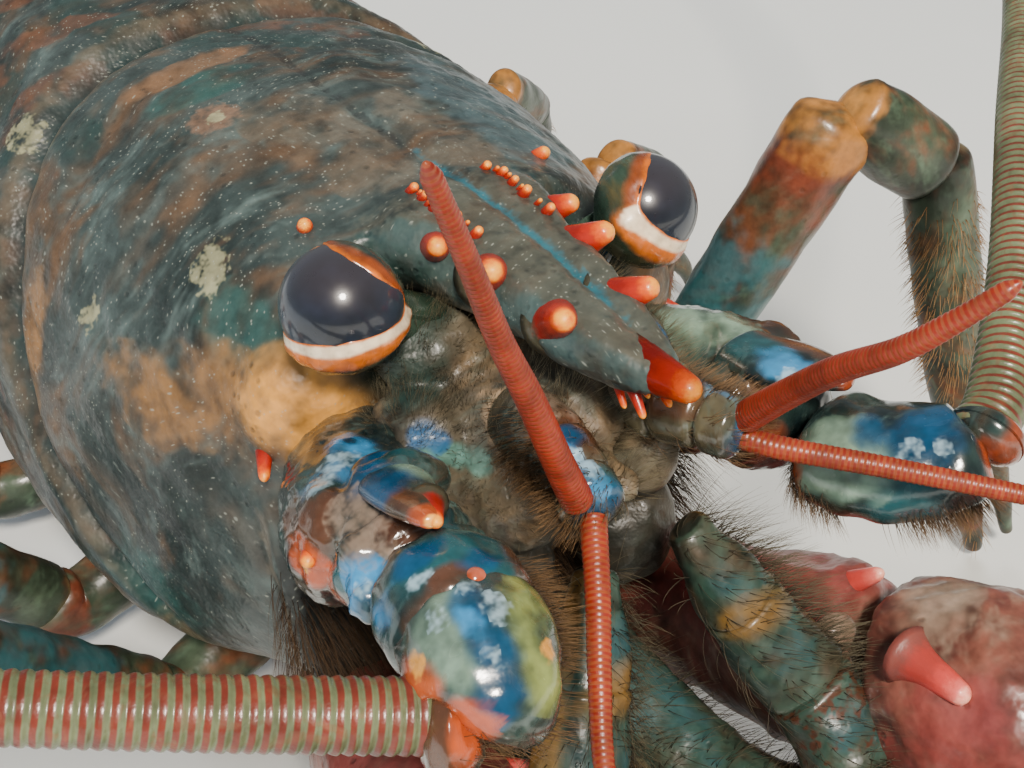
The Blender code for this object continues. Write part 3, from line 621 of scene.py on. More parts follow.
@dataclass
class Graph:
    """A shader node tree under construction."""

    tree: bpy.types.NodeTree

    def node(self, kind: str, inputs: dict, **settings) -> bpy.types.Node:
        """Add a node.

        Args:
            kind: The node's type.
            inputs: Values or sockets for its inputs, by name or place.
            **settings: The node's own settings.

        Returns:
            The node.
        """
        made = self.tree.nodes.new(kind)
        for key, value in settings.items():
            setattr(made, key, value)
        for key, value in inputs.items():
            if isinstance(value, bpy.types.NodeSocket):
                self.tree.links.new(value, made.inputs[key])
            else:
                made.inputs[key].default_value = value
        return made

    def math(self, operation: str, a, b=0.0) -> bpy.types.NodeSocket:
        """One sum of two values."""
        return self.node("ShaderNodeMath", {0: a, 1: b}, operation=operation).outputs[0]

    def step(self, value, low: float, high: float) -> bpy.types.NodeSocket:
        """A smooth step from 0 at `low` to 1 at `high`."""
        made = self.node(
            "ShaderNodeMapRange", {"Value": value, "From Min": low, "From Max": high}, interpolation_type="SMOOTHSTEP"
        )
        return made.outputs[0]

    def mix(self, share, first, second, blend: str = "MIX") -> bpy.types.NodeSocket:
        """A blend of two colours."""
        made = self.node(
            "ShaderNodeMix", {0: share, 6: first, 7: second}, data_type="RGBA", blend_type=blend
        )
        return made.outputs[2]

    def group(self, shared: bpy.types.NodeTree, inputs: dict) -> bpy.types.Node:
        """Add one of the shared groups."""
        made = self.tree.nodes.new("ShaderNodeGroup")
        made.node_tree = shared
        for key, value in inputs.items():
            if isinstance(value, bpy.types.NodeSocket):
                self.tree.links.new(value, made.inputs[key])
            else:
                made.inputs[key].default_value = value
        return made

    def mask(self, name: str) -> bpy.types.NodeSocket:
        """One of the mesh's own masks."""
        return self.node("ShaderNodeAttribute", {}, attribute_name=name).outputs["Fac"]

    def noise(self, place, scale: float, detail: float = 4.0, rough: float = 0.55):
        """Cloudy values about 0.5."""
        made = self.node(
            "ShaderNodeTexNoise", {"Vector": place, "Scale": scale, "Detail": detail, "Roughness": rough}
        )
        return made.outputs[0]


def new_group(name: str, inputs: dict[str, float | None], outputs: tuple[str, ...]) -> tuple[Graph, dict, dict]:
    """Start a shared shader group.

    Args:
        name: The group's name.
        inputs: Its inputs and their defaults; None stands for a vector.
        outputs: Names of its value outputs.

    Returns:
        The graph, its input sockets by name, and the output node's inputs by name.
    """
    tree = bpy.data.node_groups.new(name, "ShaderNodeTree")
    for key, default in inputs.items():
        kind = "NodeSocketVector" if default is None else "NodeSocketFloat"
        socket = tree.interface.new_socket(key, in_out="INPUT", socket_type=kind)
        if default is not None:
            socket.default_value = default
    for key in outputs:
        tree.interface.new_socket(key, in_out="OUTPUT", socket_type="NodeSocketFloat")
    start, end = tree.nodes.new("NodeGroupInput"), tree.nodes.new("NodeGroupOutput")
    return Graph(tree), {k: start.outputs[k] for k in inputs}, {k: end.inputs[k] for k in outputs}


@dataclass(frozen=True)
class Mark:
    """A patch of colour where one of the mesh's masks is high."""

    mask: str
    colour: int
    ragged: float = 0.5
    fine: float = 600.0
    cut: float = 0.5
    share: float = 1.0
    soft: float = 0.22


@dataclass(frozen=True)
class Finish:
    """How one of the animal's surfaces looks."""

    name: str
    dark: int
    base: int
    warm: int
    pale: int
    warm_share: float = 0.5
    pale_share: float = 0.25
    streak: float = 1.0
    scale: float = 120.0
    roughness: float = 0.42
    coat: float = 0.2
    pits: float = 0.35
    pit_scale: float = 900.0
    grain: float = 0.25
    relief: float = 0.00012
    marks: tuple[Mark, ...] = ()
    bands: tuple[str, int, int] | None = None
    blots: float = 0.35
    ring_cut: float = -0.1
    specks: float = 0.0


class Palette:
    """Builds the animal's materials from their finishes."""

    def __init__(self) -> None:
        """Make the groups that the materials share."""
        self.streaks = self.make_streaks()
        self.pitting = self.make_pitting()
        self.edges = self.make_edges()

    @staticmethod
    def make_streaks() -> bpy.types.NodeTree:
        """Broken, stretched mottling: a coarse and a fine mask."""
        g, ins, outs = new_group(
            "streaks", {"Place": None, "Scale": 120.0, "Stretch": 1.0, "Share": 0.5}, ("Coarse", "Fine")
        )
        pull = g.node("ShaderNodeCombineXYZ", {0: 1.0, 1: ins["Stretch"], 2: 1.0}).outputs[0]
        drawn = g.node("ShaderNodeVectorMath", {0: ins["Place"], 1: pull}, operation="MULTIPLY").outputs[0]
        coarse = g.noise(drawn, ins["Scale"], 2.0, 0.66)
        fine = g.noise(drawn, g.math("MULTIPLY", ins["Scale"], 3.9), 1.0, 0.7)
        low = g.math("SUBTRACT", 0.68, g.math("MULTIPLY", ins["Share"], 0.3))
        blended = g.math("ADD", g.math("MULTIPLY", coarse, 0.72), g.math("MULTIPLY", fine, 0.28))
        far = g.math("SUBTRACT", blended, low)
        g.tree.links.new(g.step(g.math("MULTIPLY", far, 6.0), -0.7, 1.1), outs["Coarse"])
        g.tree.links.new(g.step(g.math("SUBTRACT", fine, low), -0.06, 0.1), outs["Fine"])
        return g.tree

    @staticmethod
    def make_pitting() -> bpy.types.NodeTree:
        """Fine relief: small pits in a grainy surface."""
        g, ins, outs = new_group(
            "pitting", {"Place": None, "Scale": 900.0, "Pits": 0.4, "Grain": 0.3}, ("Height", "Hole")
        )
        cells = g.node("ShaderNodeTexVoronoi", {"Vector": ins["Place"], "Scale": ins["Scale"], "Randomness": 0.9})
        sparse = g.noise(ins["Place"], g.math("MULTIPLY", ins["Scale"], 0.33), 0.0)
        hole = g.math("SUBTRACT", 1.0, g.step(cells.outputs["Distance"], 0.08, 0.3))
        hole = g.math("MULTIPLY", hole, g.step(sparse, 0.5, 0.64))
        rough = g.noise(ins["Place"], g.math("MULTIPLY", ins["Scale"], 1.7), 1.0, 0.8)
        rolling = g.noise(ins["Place"], g.math("MULTIPLY", ins["Scale"], 0.24), 0.0, 0.5)
        height = g.math("SUBTRACT", g.math("MULTIPLY", rough, ins["Grain"]), g.math("MULTIPLY", hole, ins["Pits"]))
        height = g.math("ADD", height, g.math("MULTIPLY", rolling, 0.8))
        g.tree.links.new(height, outs["Height"])
        g.tree.links.new(hole, outs["Hole"])
        return g.tree

    @staticmethod
    def make_edges() -> bpy.types.NodeTree:
        """A mask broken up along its edge by a shared noise."""
        g, ins, outs = new_group(
            "broken_edge", {"Noise": 0.5, "Mask": 0.0, "Ragged": 0.5, "Cut": 0.5, "Soft": 0.22}, ("Mask",)
        )
        far = g.math("MULTIPLY", g.math("SUBTRACT", ins["Noise"], 0.5), g.math("MULTIPLY", ins["Ragged"], 2.4))
        held = g.math("MULTIPLY", far, g.step(ins["Mask"], 0.0, 0.1))
        total = g.math("SUBTRACT", g.math("ADD", ins["Mask"], held), ins["Cut"])
        eased = g.math("ADD", 0.5, g.math("DIVIDE", total, g.math("MULTIPLY", ins["Soft"], 2.0)))
        inside = g.step(ins["Mask"], 0.0, 0.12)
        g.tree.links.new(g.math("MULTIPLY", g.step(eased, 0.0, 1.0), inside), outs["Mask"])
        return g.tree

    def paint(self, finish: Finish) -> bpy.types.Material:
        """Build a material.

        Args:
            finish: Its colours, mottling, relief and marks.

        Returns:
            The material.
        """
        material = bpy.data.materials.new(finish.name)
        material.use_nodes = True
        g = Graph(material.node_tree)
        shader = material.node_tree.nodes["Principled BSDF"]
        place = g.node("ShaderNodeTexCoord", {}).outputs["Object"]
        wander = g.node("ShaderNodeTexNoise", {"Vector": place, "Scale": 80.0, "Detail": 0.0}).outputs[1]
        shift = g.node("ShaderNodeVectorMath", {0: wander, 3: 0.012}, operation="SCALE").outputs[0]
        moved = g.node("ShaderNodeVectorMath", {0: place, 1: shift}, operation="ADD").outputs[0]
        warm = g.group(
            self.streaks,
            {"Place": moved, "Scale": finish.scale, "Stretch": finish.streak, "Share": finish.warm_share},
        )
        aside = g.node("ShaderNodeVectorMath", {0: moved, 1: (0.37, 0.61, 0.23)}, operation="ADD").outputs[0]
        pale = g.group(
            self.streaks,
            {"Place": aside, "Scale": finish.scale * 1.9, "Stretch": finish.streak, "Share": finish.pale_share},
        )
        relief = g.group(
            self.pitting,
            {"Place": place, "Scale": finish.pit_scale, "Pits": finish.pits, "Grain": finish.grain},
        )
        depth = g.step(g.noise(place, finish.scale * 0.8, 1.0, 0.6), 0.35, 0.65)
        colour = g.mix(depth, tone(finish.dark), tone(finish.base))
        colour = g.mix(warm.outputs["Coarse"], colour, tone(finish.warm))
        colour = g.mix(g.math("MULTIPLY", pale.outputs["Coarse"], 0.8), colour, tone(finish.pale))
        if finish.bands:
            name, low, high = finish.bands
            wave = g.math("ADD", g.mask(name), g.math("MULTIPLY", g.noise(place, 500.0, 2.0), 0.25))
            bright = g.step(
                g.math("SINE", g.math("MULTIPLY", wave, math.tau)), finish.ring_cut - 0.45, finish.ring_cut + 0.45
            )
            banded = g.mix(bright, tone(low), tone(high))
            colour = g.mix(g.math("MULTIPLY", warm.outputs["Fine"], 0.35), banded, colour)
        clouds = {scale: g.noise(place, scale, 2.0, 0.7) for scale in (260.0, 800.0)}
        for mark in finish.marks:
            noise = clouds[min(clouds, key=lambda scale: abs(scale - mark.fine))]
            edge = g.group(
                self.edges,
                {
                    "Noise": noise, "Mask": g.mask(mark.mask), "Ragged": mark.ragged, "Cut": mark.cut,
                    "Soft": mark.soft
                },
            )
            colour = g.mix(g.math("MULTIPLY", edge.outputs[0], mark.share), colour, tone(mark.colour))
        blots = g.step(clouds[260.0], 0.36, 0.62)
        shade = g.math("ADD", 0.35, g.math("MULTIPLY", clouds[800.0], 0.9))
        shade = g.math("ADD", shade, g.math("MULTIPLY", blots, finish.blots))
        colour = g.mix(
            1.0, colour, g.node("ShaderNodeCombineColor", {0: shade, 1: shade, 2: shade}).outputs[0], "MULTIPLY"
        )
        if finish.specks:
            dots = g.node(
                "ShaderNodeTexVoronoi", {"Vector": aside, "Scale": finish.pit_scale * 2.3, "Randomness": 1.0}
            )
            seen = g.math("MULTIPLY", g.step(dots.outputs["Distance"], 0.26, 0.12), g.step(clouds[800.0], 0.42, 0.6))
            colour = g.mix(g.math("MULTIPLY", seen, finish.specks), colour, tone(0x8C9084))
        holes = g.math("MULTIPLY", relief.outputs["Hole"], min(1.0, finish.pits))
        colour = g.mix(holes, colour, tone(finish.dark, 0.6))
        bump = g.node(
            "ShaderNodeBump",
            {"Height": relief.outputs["Height"], "Distance": finish.relief, "Strength": 1.0},
        )
        gloss = g.math("MULTIPLY", g.math("SUBTRACT", warm.outputs["Fine"], 0.5), 0.12)
        rough = g.math("ADD", finish.roughness, gloss)
        g.tree.links.new(colour, shader.inputs["Base Color"])
        g.tree.links.new(g.math("ADD", rough, g.math("MULTIPLY", holes, 0.2)), shader.inputs["Roughness"])
        g.tree.links.new(bump.outputs[0], shader.inputs["Normal"])
        shader.inputs["Coat Weight"].default_value = finish.coat
        shader.inputs["Coat Roughness"].default_value = 0.18
        shader.inputs["Specular IOR Level"].default_value = 0.45
        return material

    def cornea(self) -> bpy.types.Material:
        """The eye: near-black and glossy, with a faint net of facets, a blue-grey bloom, and a painted sheen that
        turns its edges blue-grey where they are seen at a grazing angle.
        """
        material = bpy.data.materials.new("cornea")
        material.use_nodes = True
        g = Graph(material.node_tree)
        shader = material.node_tree.nodes["Principled BSDF"]
        place = g.node("ShaderNodeTexCoord", {}).outputs["Object"]
        facets = g.node("ShaderNodeTexVoronoi", {"Vector": place, "Scale": 9000.0, "Randomness": 0.25})
        bloom = g.step(g.noise(place, 260.0, 3.0, 0.6), 0.35, 0.75)
        # Painted sheen: the cornea is lightened to blue-grey where it is seen edge-on.
        rim = g.node("ShaderNodeLayerWeight", {"Blend": 0.35}).outputs["Facing"]
        deep = g.mix(bloom, tone(0x0C1018), tone(0x1C2230))
        colour = g.mix(g.math("MULTIPLY", rim, 0.6), deep, tone(0x46525E))
        colour = g.mix(g.math("MULTIPLY", g.mask("upper"), 0.4), colour, tone(0x3C3436))
        bump = g.node(
            "ShaderNodeBump", {"Height": facets.outputs["Distance"], "Distance": 0.000004, "Strength": 0.5}
        )
        smear = g.math("ADD", 0.2, g.math("MULTIPLY", g.noise(place, 900.0, 5.0, 0.7), 0.2))
        g.tree.links.new(colour, shader.inputs["Base Color"])
        g.tree.links.new(smear, shader.inputs["Roughness"])
        g.tree.links.new(bump.outputs[0], shader.inputs["Normal"])
        shader.inputs["Coat Weight"].default_value = 0.7
        shader.inputs["Coat Roughness"].default_value = 0.07
        shader.inputs["IOR"].default_value = 1.42
        return material

    def spine(
        self, name: str = "spine", tones: tuple[int, ...] = (0x3A3628, 0x7A120A, 0xA4200A, 0xD85408, 0xF2A42C)
    ) -> bpy.types.Material:
        """Spines and tubercles: shell colour at the root, then red-orange, and a pale tip. Made once for each name."""
        if name in bpy.data.materials:
            return bpy.data.materials[name]
        material = bpy.data.materials.new(name)
        material.use_nodes = True
        g = Graph(material.node_tree)
        shader = material.node_tree.nodes["Principled BSDF"]
        place = g.node("ShaderNodeTexCoord", {}).outputs["Object"]
        noise = g.math("MULTIPLY", g.math("SUBTRACT", g.noise(place, 1500.0, 5.0, 0.65), 0.5), 0.3)
        tip = g.math("ADD", g.mask("tip"), noise)
        colour = tone(tones[0])
        for (low, high), shade in zip(((0.1, 0.3), (0.45, 0.72), (0.72, 0.9), (0.88, 1.03)), tones[1:]):
            colour = g.mix(g.step(tip, low, high), colour, tone(shade))
        grain = g.noise(place, 2600.0, 5.0, 0.7)
        bump = g.node("ShaderNodeBump", {"Height": grain, "Distance": 0.00005, "Strength": 0.8})
        g.tree.links.new(colour, shader.inputs["Base Color"])
        g.tree.links.new(g.math("ADD", 0.28, g.math("MULTIPLY", grain, 0.2)), shader.inputs["Roughness"])
        g.tree.links.new(bump.outputs[0], shader.inputs["Normal"])
        shader.subsurface_method = "BURLEY"
        shader.inputs["Coat Weight"].default_value = 0.35
        shader.inputs["Subsurface Weight"].default_value = 0.25
        shader.inputs["Subsurface Radius"].default_value = (0.0009, 0.0004, 0.0002)
        shader.inputs["Subsurface Scale"].default_value = 1.0
        return material

    def bristle(self, name: str, root: int, tip: int) -> bpy.types.Material:
        """Bristles and hairs, darker at the root.

        Args:
            name: The material's name.
            root: Colour at the root.
            tip: Colour at the tip.

        Returns:
            The material.
        """
        material = bpy.data.materials.new(name)
        material.use_nodes = True
        g = Graph(material.node_tree)
        shader = material.node_tree.nodes["Principled BSDF"]
        place = g.node("ShaderNodeTexCoord", {}).outputs["Object"]
        varied = g.step(g.noise(place, 700.0, 3.0), 0.3, 0.7)
        share = g.math("MULTIPLY", g.mask("out"), g.math("ADD", 0.6, g.math("MULTIPLY", varied, 0.5)))
        colour = g.mix(share, tone(root), tone(tip))
        g.tree.links.new(colour, shader.inputs["Base Color"])
        shader.inputs["Roughness"].default_value = 0.55
        shader.inputs["Specular IOR Level"].default_value = 0.3
        return material


EYES: dict[str, Point] = {"right": (-14.2, -5.0, 0.8), "left": (13.4, -4.7, 0.1)}


@dataclass(frozen=True)
class EyeRim:
    """Where a cornea ends: its axis, and two planes that cut the orb, each a way and a share of the radius."""

    axis: Point
    chord: Point
    chord_at: float
    low: Point
    low_at: float


EYE_RIMS = {
    "right": EyeRim((-0.556, -0.501, 0.657), (0.712, 0.102, 0.695), 0.67, (0.013, -0.236, -0.972), 0.25),
    "left": EyeRim((0.202, -0.768, 0.609), (-0.699, 0.689, 0.19), 0.13, (-0.511, 0.411, -0.754), -0.27),
}
SHELL_WIDTH = Profile(((-10, 18.0), (0, 21.4), (10, 25.4), (20, 27.8), (30, 28.8), (45, 28.8),
                       (60, 28.0), (75, 26.0), (92, 21.5)))
SHELL_TOP = Profile(((-10, 0.8), (0, 2.2), (10, 3.0), (20, 3.4), (32, 3.3), (44, 2.4),
                     (56, 3.4), (75, 2.8), (92, -0.5)))
SHELL_WAIST = Profile(((-10, -22.0), (10, -25.0), (30, -25.5), (60, -24.0), (92, -18.5)))
SHELL_BOTTOM = Profile(((-10, -37.0), (0, -40.0), (15, -46.0), (45, -47.0), (70, -44.0), (92, -35.0)))
FRONT_LINE = Profile(((0, 1.0), (20, 1.5), (35, 2.0), (48, 0.5), (62, -4.2), (70, -2.8), (86, -4.8),
                      (110, -6.0), (135, -7.0), (180, -7.0)))
GROOVE_LINE = Profile(((0, 44.0), (30, 42.0), (60, 33.5), (90, 26.5), (106, 18.5), (119, 11.7),
                       (135, 7.0), (180, 6.0)))
REAR_LINE = Profile(((0, 90.0), (45, 91.0), (90, 92.0), (135, 90.0), (180, 88.0)))
UPPER_POWER = 2.4
LOWER_POWER = 4.2
# The rostrum: Y, half width, level of its upper face, thickness.
ROSTRUM = ((9.0, 6.0, 2.2, 5.0), (2.0, 8.0, 3.3, 7.2), (-2.0, 6.8, 3.4, 7.4), (-6.0, 5.3, 3.2, 7.0),
           (-11.0, 4.4, 2.7, 6.0), (-16.0, 3.6, 2.0, 5.0), (-20.0, 2.6, 1.25, 3.9),
           (-21.6, 1.9, 0.9, 3.1), (-22.8, 1.1, 0.5, 2.0), (-23.4, 0.5, 0.2, 1.2))
ROSTRUM_HALF = Profile(tuple((row[0], row[1]) for row in reversed(ROSTRUM)))
# Spines of the rostrum and carapace, one side: root, tip, radius, how blunt.
SHELL_SPINES = (
    ((4.4, -2.0, 0.8), (6.3, -5.1, 3.2), 1.45, 0.42),
    ((3.2, -7.2, 0.6), (5.3, -10.5, 3.7), 1.75, 0.4),
    ((2.2, -14.0, 0.1), (4.0, -17.2, 2.8), 1.7, 0.4),
    ((0.9, -20.6, -1.4), (1.2, -22.9, -3.2), 0.5, 0.5),
    ((0.7, -18.6, -1.8), (1.1, -20.8, -3.7), 0.42, 0.5),
    ((9.9, 8.2, -1.6), (11.4, 5.4, 1.7), 1.0, 0.5),
    ((18.4, 0.6, -12.2), (20.7, -3.6, -13.0), 0.85, 0.45),
)
# One row of tubercles along the ridge of the rostrum.
TUBERCLES = ((3.1, -5.4, 3.5), (3.4, -2.7, 3.7), (3.7, -0.6, 3.7), (3.6, 1.0, 3.7), (3.4, 2.8, 3.5))


def superellipse(angles: np.ndarray, power: float) -> tuple[np.ndarray, np.ndarray]:
    """Sideways and upward reach of a rounded square at angles from the back."""
    across, high = np.sin(angles), np.cos(angles)
    reach = (abs(across) ** power + abs(high) ** power) ** (-1 / power)
    return across * reach, high * reach


def shell_points(y: np.ndarray, degrees: np.ndarray) -> np.ndarray:
    """Points of the carapace at Y and an angle from the back, positive on the animal's left."""
    angles = np.radians(degrees)
    waist = SHELL_WAIST(y)
    upper = superellipse(angles, UPPER_POWER)
    lower = superellipse(angles, LOWER_POWER)
    above = np.cos(angles) > 0
    x = SHELL_WIDTH(y) * np.where(above, upper[0], lower[0])
    rise = np.where(above, (SHELL_TOP(y) - waist) * upper[1], (waist - SHELL_BOTTOM(y)) * lower[1])
    return np.stack([x, y, waist + rise], -1)


def shell_degrees(points: np.ndarray) -> np.ndarray:
    """The angle from the back at which each point of the carapace lies, without its sign."""
    x, y, z = points.T
    waist = SHELL_WAIST(y)
    rise = np.where(z > waist, SHELL_TOP(y) - waist, waist - SHELL_BOTTOM(y))
    return np.degrees(np.arctan2(abs(x) / SHELL_WIDTH(y), (z - waist) / rise))


def ring(y: float, level: float, half_width: float, half_height: float, power: float, sides: int) -> np.ndarray:
    """A ring of points square to the body."""
    across, high = superellipse(math.tau * np.arange(sides) / sides, power)
    return np.stack([half_width * across, np.full(sides, y), level + half_height * high], -1)


def ball(centre: Point, radii: Point | float, sides: int = 48) -> Surface:
    """A closed ellipsoid."""
    polar = np.linspace(0.02, math.pi - 0.02, sides // 2)
    turn = math.tau * np.arange(sides) / sides
    grid = np.stack([
        np.sin(polar)[:, None] * np.cos(turn)[None],
        np.sin(polar)[:, None] * np.sin(turn)[None],
        np.repeat(np.cos(polar)[:, None], sides, 1),
    ], -1)
    return Surface.grid(
        np.array(centre) + grid * np.array(radii), masks={"polar": np.repeat(polar[:, None], sides, 1)}
    )


@dataclass
class Builder:
    """Shared by everything that makes pieces: where they go and what they are painted with."""

    body: Body
    palette: Palette
    emitters: list[tuple[Surface, np.ndarray, dict]] = field(default_factory=list)


@dataclass
class Carapace(Builder):
    """The shell of head and thorax with its rostrum, spines and tubercles."""

    voxel: float = 0.5

    def relief(self, skin: Surface) -> Surface:
        """Grooves, ridges and low swellings of the shell.

        Args:
            skin: The melted shell and rostrum.

        Returns:
            The skin with its relief.
        """
        p = skin.points
        x, y, z = p.T
        angle = shell_degrees(p)
        flank = smooth(128, 110, angle)
        groove = y - GROOVE_LINE(angle)
        height = -1.7 * np.exp(-((groove / 1.5) ** 2)) * flank
        height += 0.7 * np.exp(-(((groove - 4.0) / 3.0) ** 2)) * flank
        branch = groove + 9.5
        height += -0.45 * np.exp(-((branch / 1.2) ** 2)) * smooth(12, 20, angle) * smooth(52, 40, angle)
        half = ROSTRUM_HALF(np.minimum(y, 6.0))
        beak = smooth(5.0, -3.0, y) * (z > -1.2)
        height += 0.45 * np.exp(-(((abs(x) - 0.72 * half) / 0.8) ** 2)) * beak
        height -= 0.5 * np.exp(
            -(((x - 0.8) / 0.75) ** 2)
        ) * smooth(16.0, 4.0, y) * smooth(-23.0, -18.0, y) * (z > -1.2)
        height += 0.3 * np.exp(-(((abs(x) - 3.4) / 1.3) ** 2)) * smooth(26.0, 6.0, y) * smooth(-6.0, 3.0, y) * (z > 0)
        height -= 0.25 * np.exp(-((x / 0.4) ** 2)) * smooth(4.0, 14.0, y) * (z > -1)
        edge = y - FRONT_LINE(angle)
        height += 0.5 * np.exp(-(((edge - 1.0) / 0.8) ** 2)) * smooth(74, 88, angle)
        height -= 0.35 * np.exp(-(((edge - 3.0) / 1.0) ** 2)) * smooth(74, 88, angle)
        height += 0.14 * lumps(p, 3.0, 1) + 0.05 * lumps(p, 0.9, 2)
        height += 0.12 * np.maximum(lumps(p, 0.55, 3), 0) * beak
        return skin.pushed(height)

    def masks(self, p: np.ndarray) -> dict[str, np.ndarray]:
        """Where the shell's patches of colour lie."""
        x, y, z = p.T
        angle = shell_degrees(p)
        groove = y - GROOVE_LINE(angle)
        edge = y - FRONT_LINE(angle)
        half = ROSTRUM_HALF(np.minimum(y, 6.0))
        above = z > -1.5
        beak = smooth(6.0, -1.0, y) * above * (abs(x) < half + 1.0)
        old_scabs = (
            (-26.5, 52.0, -16.0), (18.0, 34.0, -1.0), (24.0, 60.0, -9.0), (-14.0, 64.0, 0.5), (21.0, 21.0, -5.0)
        )
        tan = np.maximum(
            patches(p, ((-3.8, 12.5, 2.6), (3.6, 9.5, 5)), ((4.0, 11.0, 2.5), (3.2, 8.5, 5))),
            0.8 * near(p, (-6.0, 20.0, 2.6), (3.0, 4.0, 5)),
        )
        return {
            # Painted shade: darker colour along the crease of the cervical groove.
            "groove": np.exp(-((groove / 1.0) ** 2)) * smooth(128, 110, angle),
            "lip": np.exp(-(((abs(groove) - 2.1) / 0.7) ** 2)) * smooth(128, 110, angle),
            "tan": tan,
            "cheek": patches(
                p, ((-20.4, 2.4, -9.8), (4.2, 5.6, 3.2), 1.2), ((-23.6, 9.2, -12.5), (3.2, 6.0, 2.8), 1.2),
                ((-27.2, 27.0, -15.0), (2.0, 2.0, 6.5), 1.2), ((17.6, -1.2, -8.2), (5.2, 5.6, 3.8), 1.2),
            ),
            "gold": near(p, (-16.8, -3.2, -8.4), (4.4, 4.4, 3.4), 1.3),
            "teal": patches(
                p, ((-17.6, 4.4, -5.0), (3.2, 4.0, 2.6), 1.0), ((-29.5, 10.0, -36.0), (7, 9, 8)),
                ((-8.5, 29.6, 2.6), (5.4, 2.4, 3.4)), ((28.5, 12.0, -34.0), (7, 12, 9)),
            ),
            "scab": patches(
                p, ((-17.8, 9.4, -3.0), (1.3, 1.5, 1.3), 1.2), ((-24.5, 19.0, -9.5), (1.0, 0.9, 1.4), 1.0),
                ((-16.6, 10.4, -2.0), (1.2, 1.0, 1.0), 1.2), ((-20.8, 41.4, -3.3), 1.6, 1.0),
                ((-9.8, 23.8, 2.2), 0.8),
                *((spot, 1.1, 1.2) for spot in old_scabs),
            ),
            "halo": near(p, (-9.8, 23.8, 2.2), 2.2),
            "crescent": near(p, (-7.6, 34.2, 2.4), (6.4, 1.7, 4.0)),
            "blue_line": np.exp(-(((x - 0.8) / 0.42) ** 2)) * smooth(11.0, 5.0, y) * smooth(-20.0, -14.0, y) * above,
            "dark_line": np.exp(-((x / 0.4) ** 2)) * smooth(5.0, 10.0, y) * smooth(44.0, 40.0, y) * above,
            "bluish": near(p, (12.0, 15.0, 1.2), (6.0, 12.0, 5.0)),
            "beak": beak,
            "beak_edge": beak * smooth(0.62, 0.95, abs(x) / half) * smooth(-2.2, -0.5, z),
            "rim": np.exp(-((edge / 0.9) ** 2)) * smooth(74, 88, angle),
            "hem": np.exp(-(((edge - 2.0) / 0.9) ** 2)) * smooth(74, 88, angle),
            "low": smooth(-33.0, -42.0, z),
            "mottle": smooth(-0.1, 0.7, lumps(p, 6.0, 21)) * smooth(22.0, 40.0, y),
            "rust": smooth(0.1, 0.8, lumps(p, 4.0, 22)) * smooth(26.0, 44.0, y),
            # Painted shade: dark patches in the hollows round the eye sockets.
            "socket": patches(
                p, *(((side * x, y, z), reach, 0.9) for side in SIDES.values() for (x, y, z), reach in (
                    ((10.2, -3.0, -5.6), (3.4, 3.6, 3.4)), ((8.4, -1.0, -1.6), (3.2, 4.4, 2.6))
                ))
            ),
        }

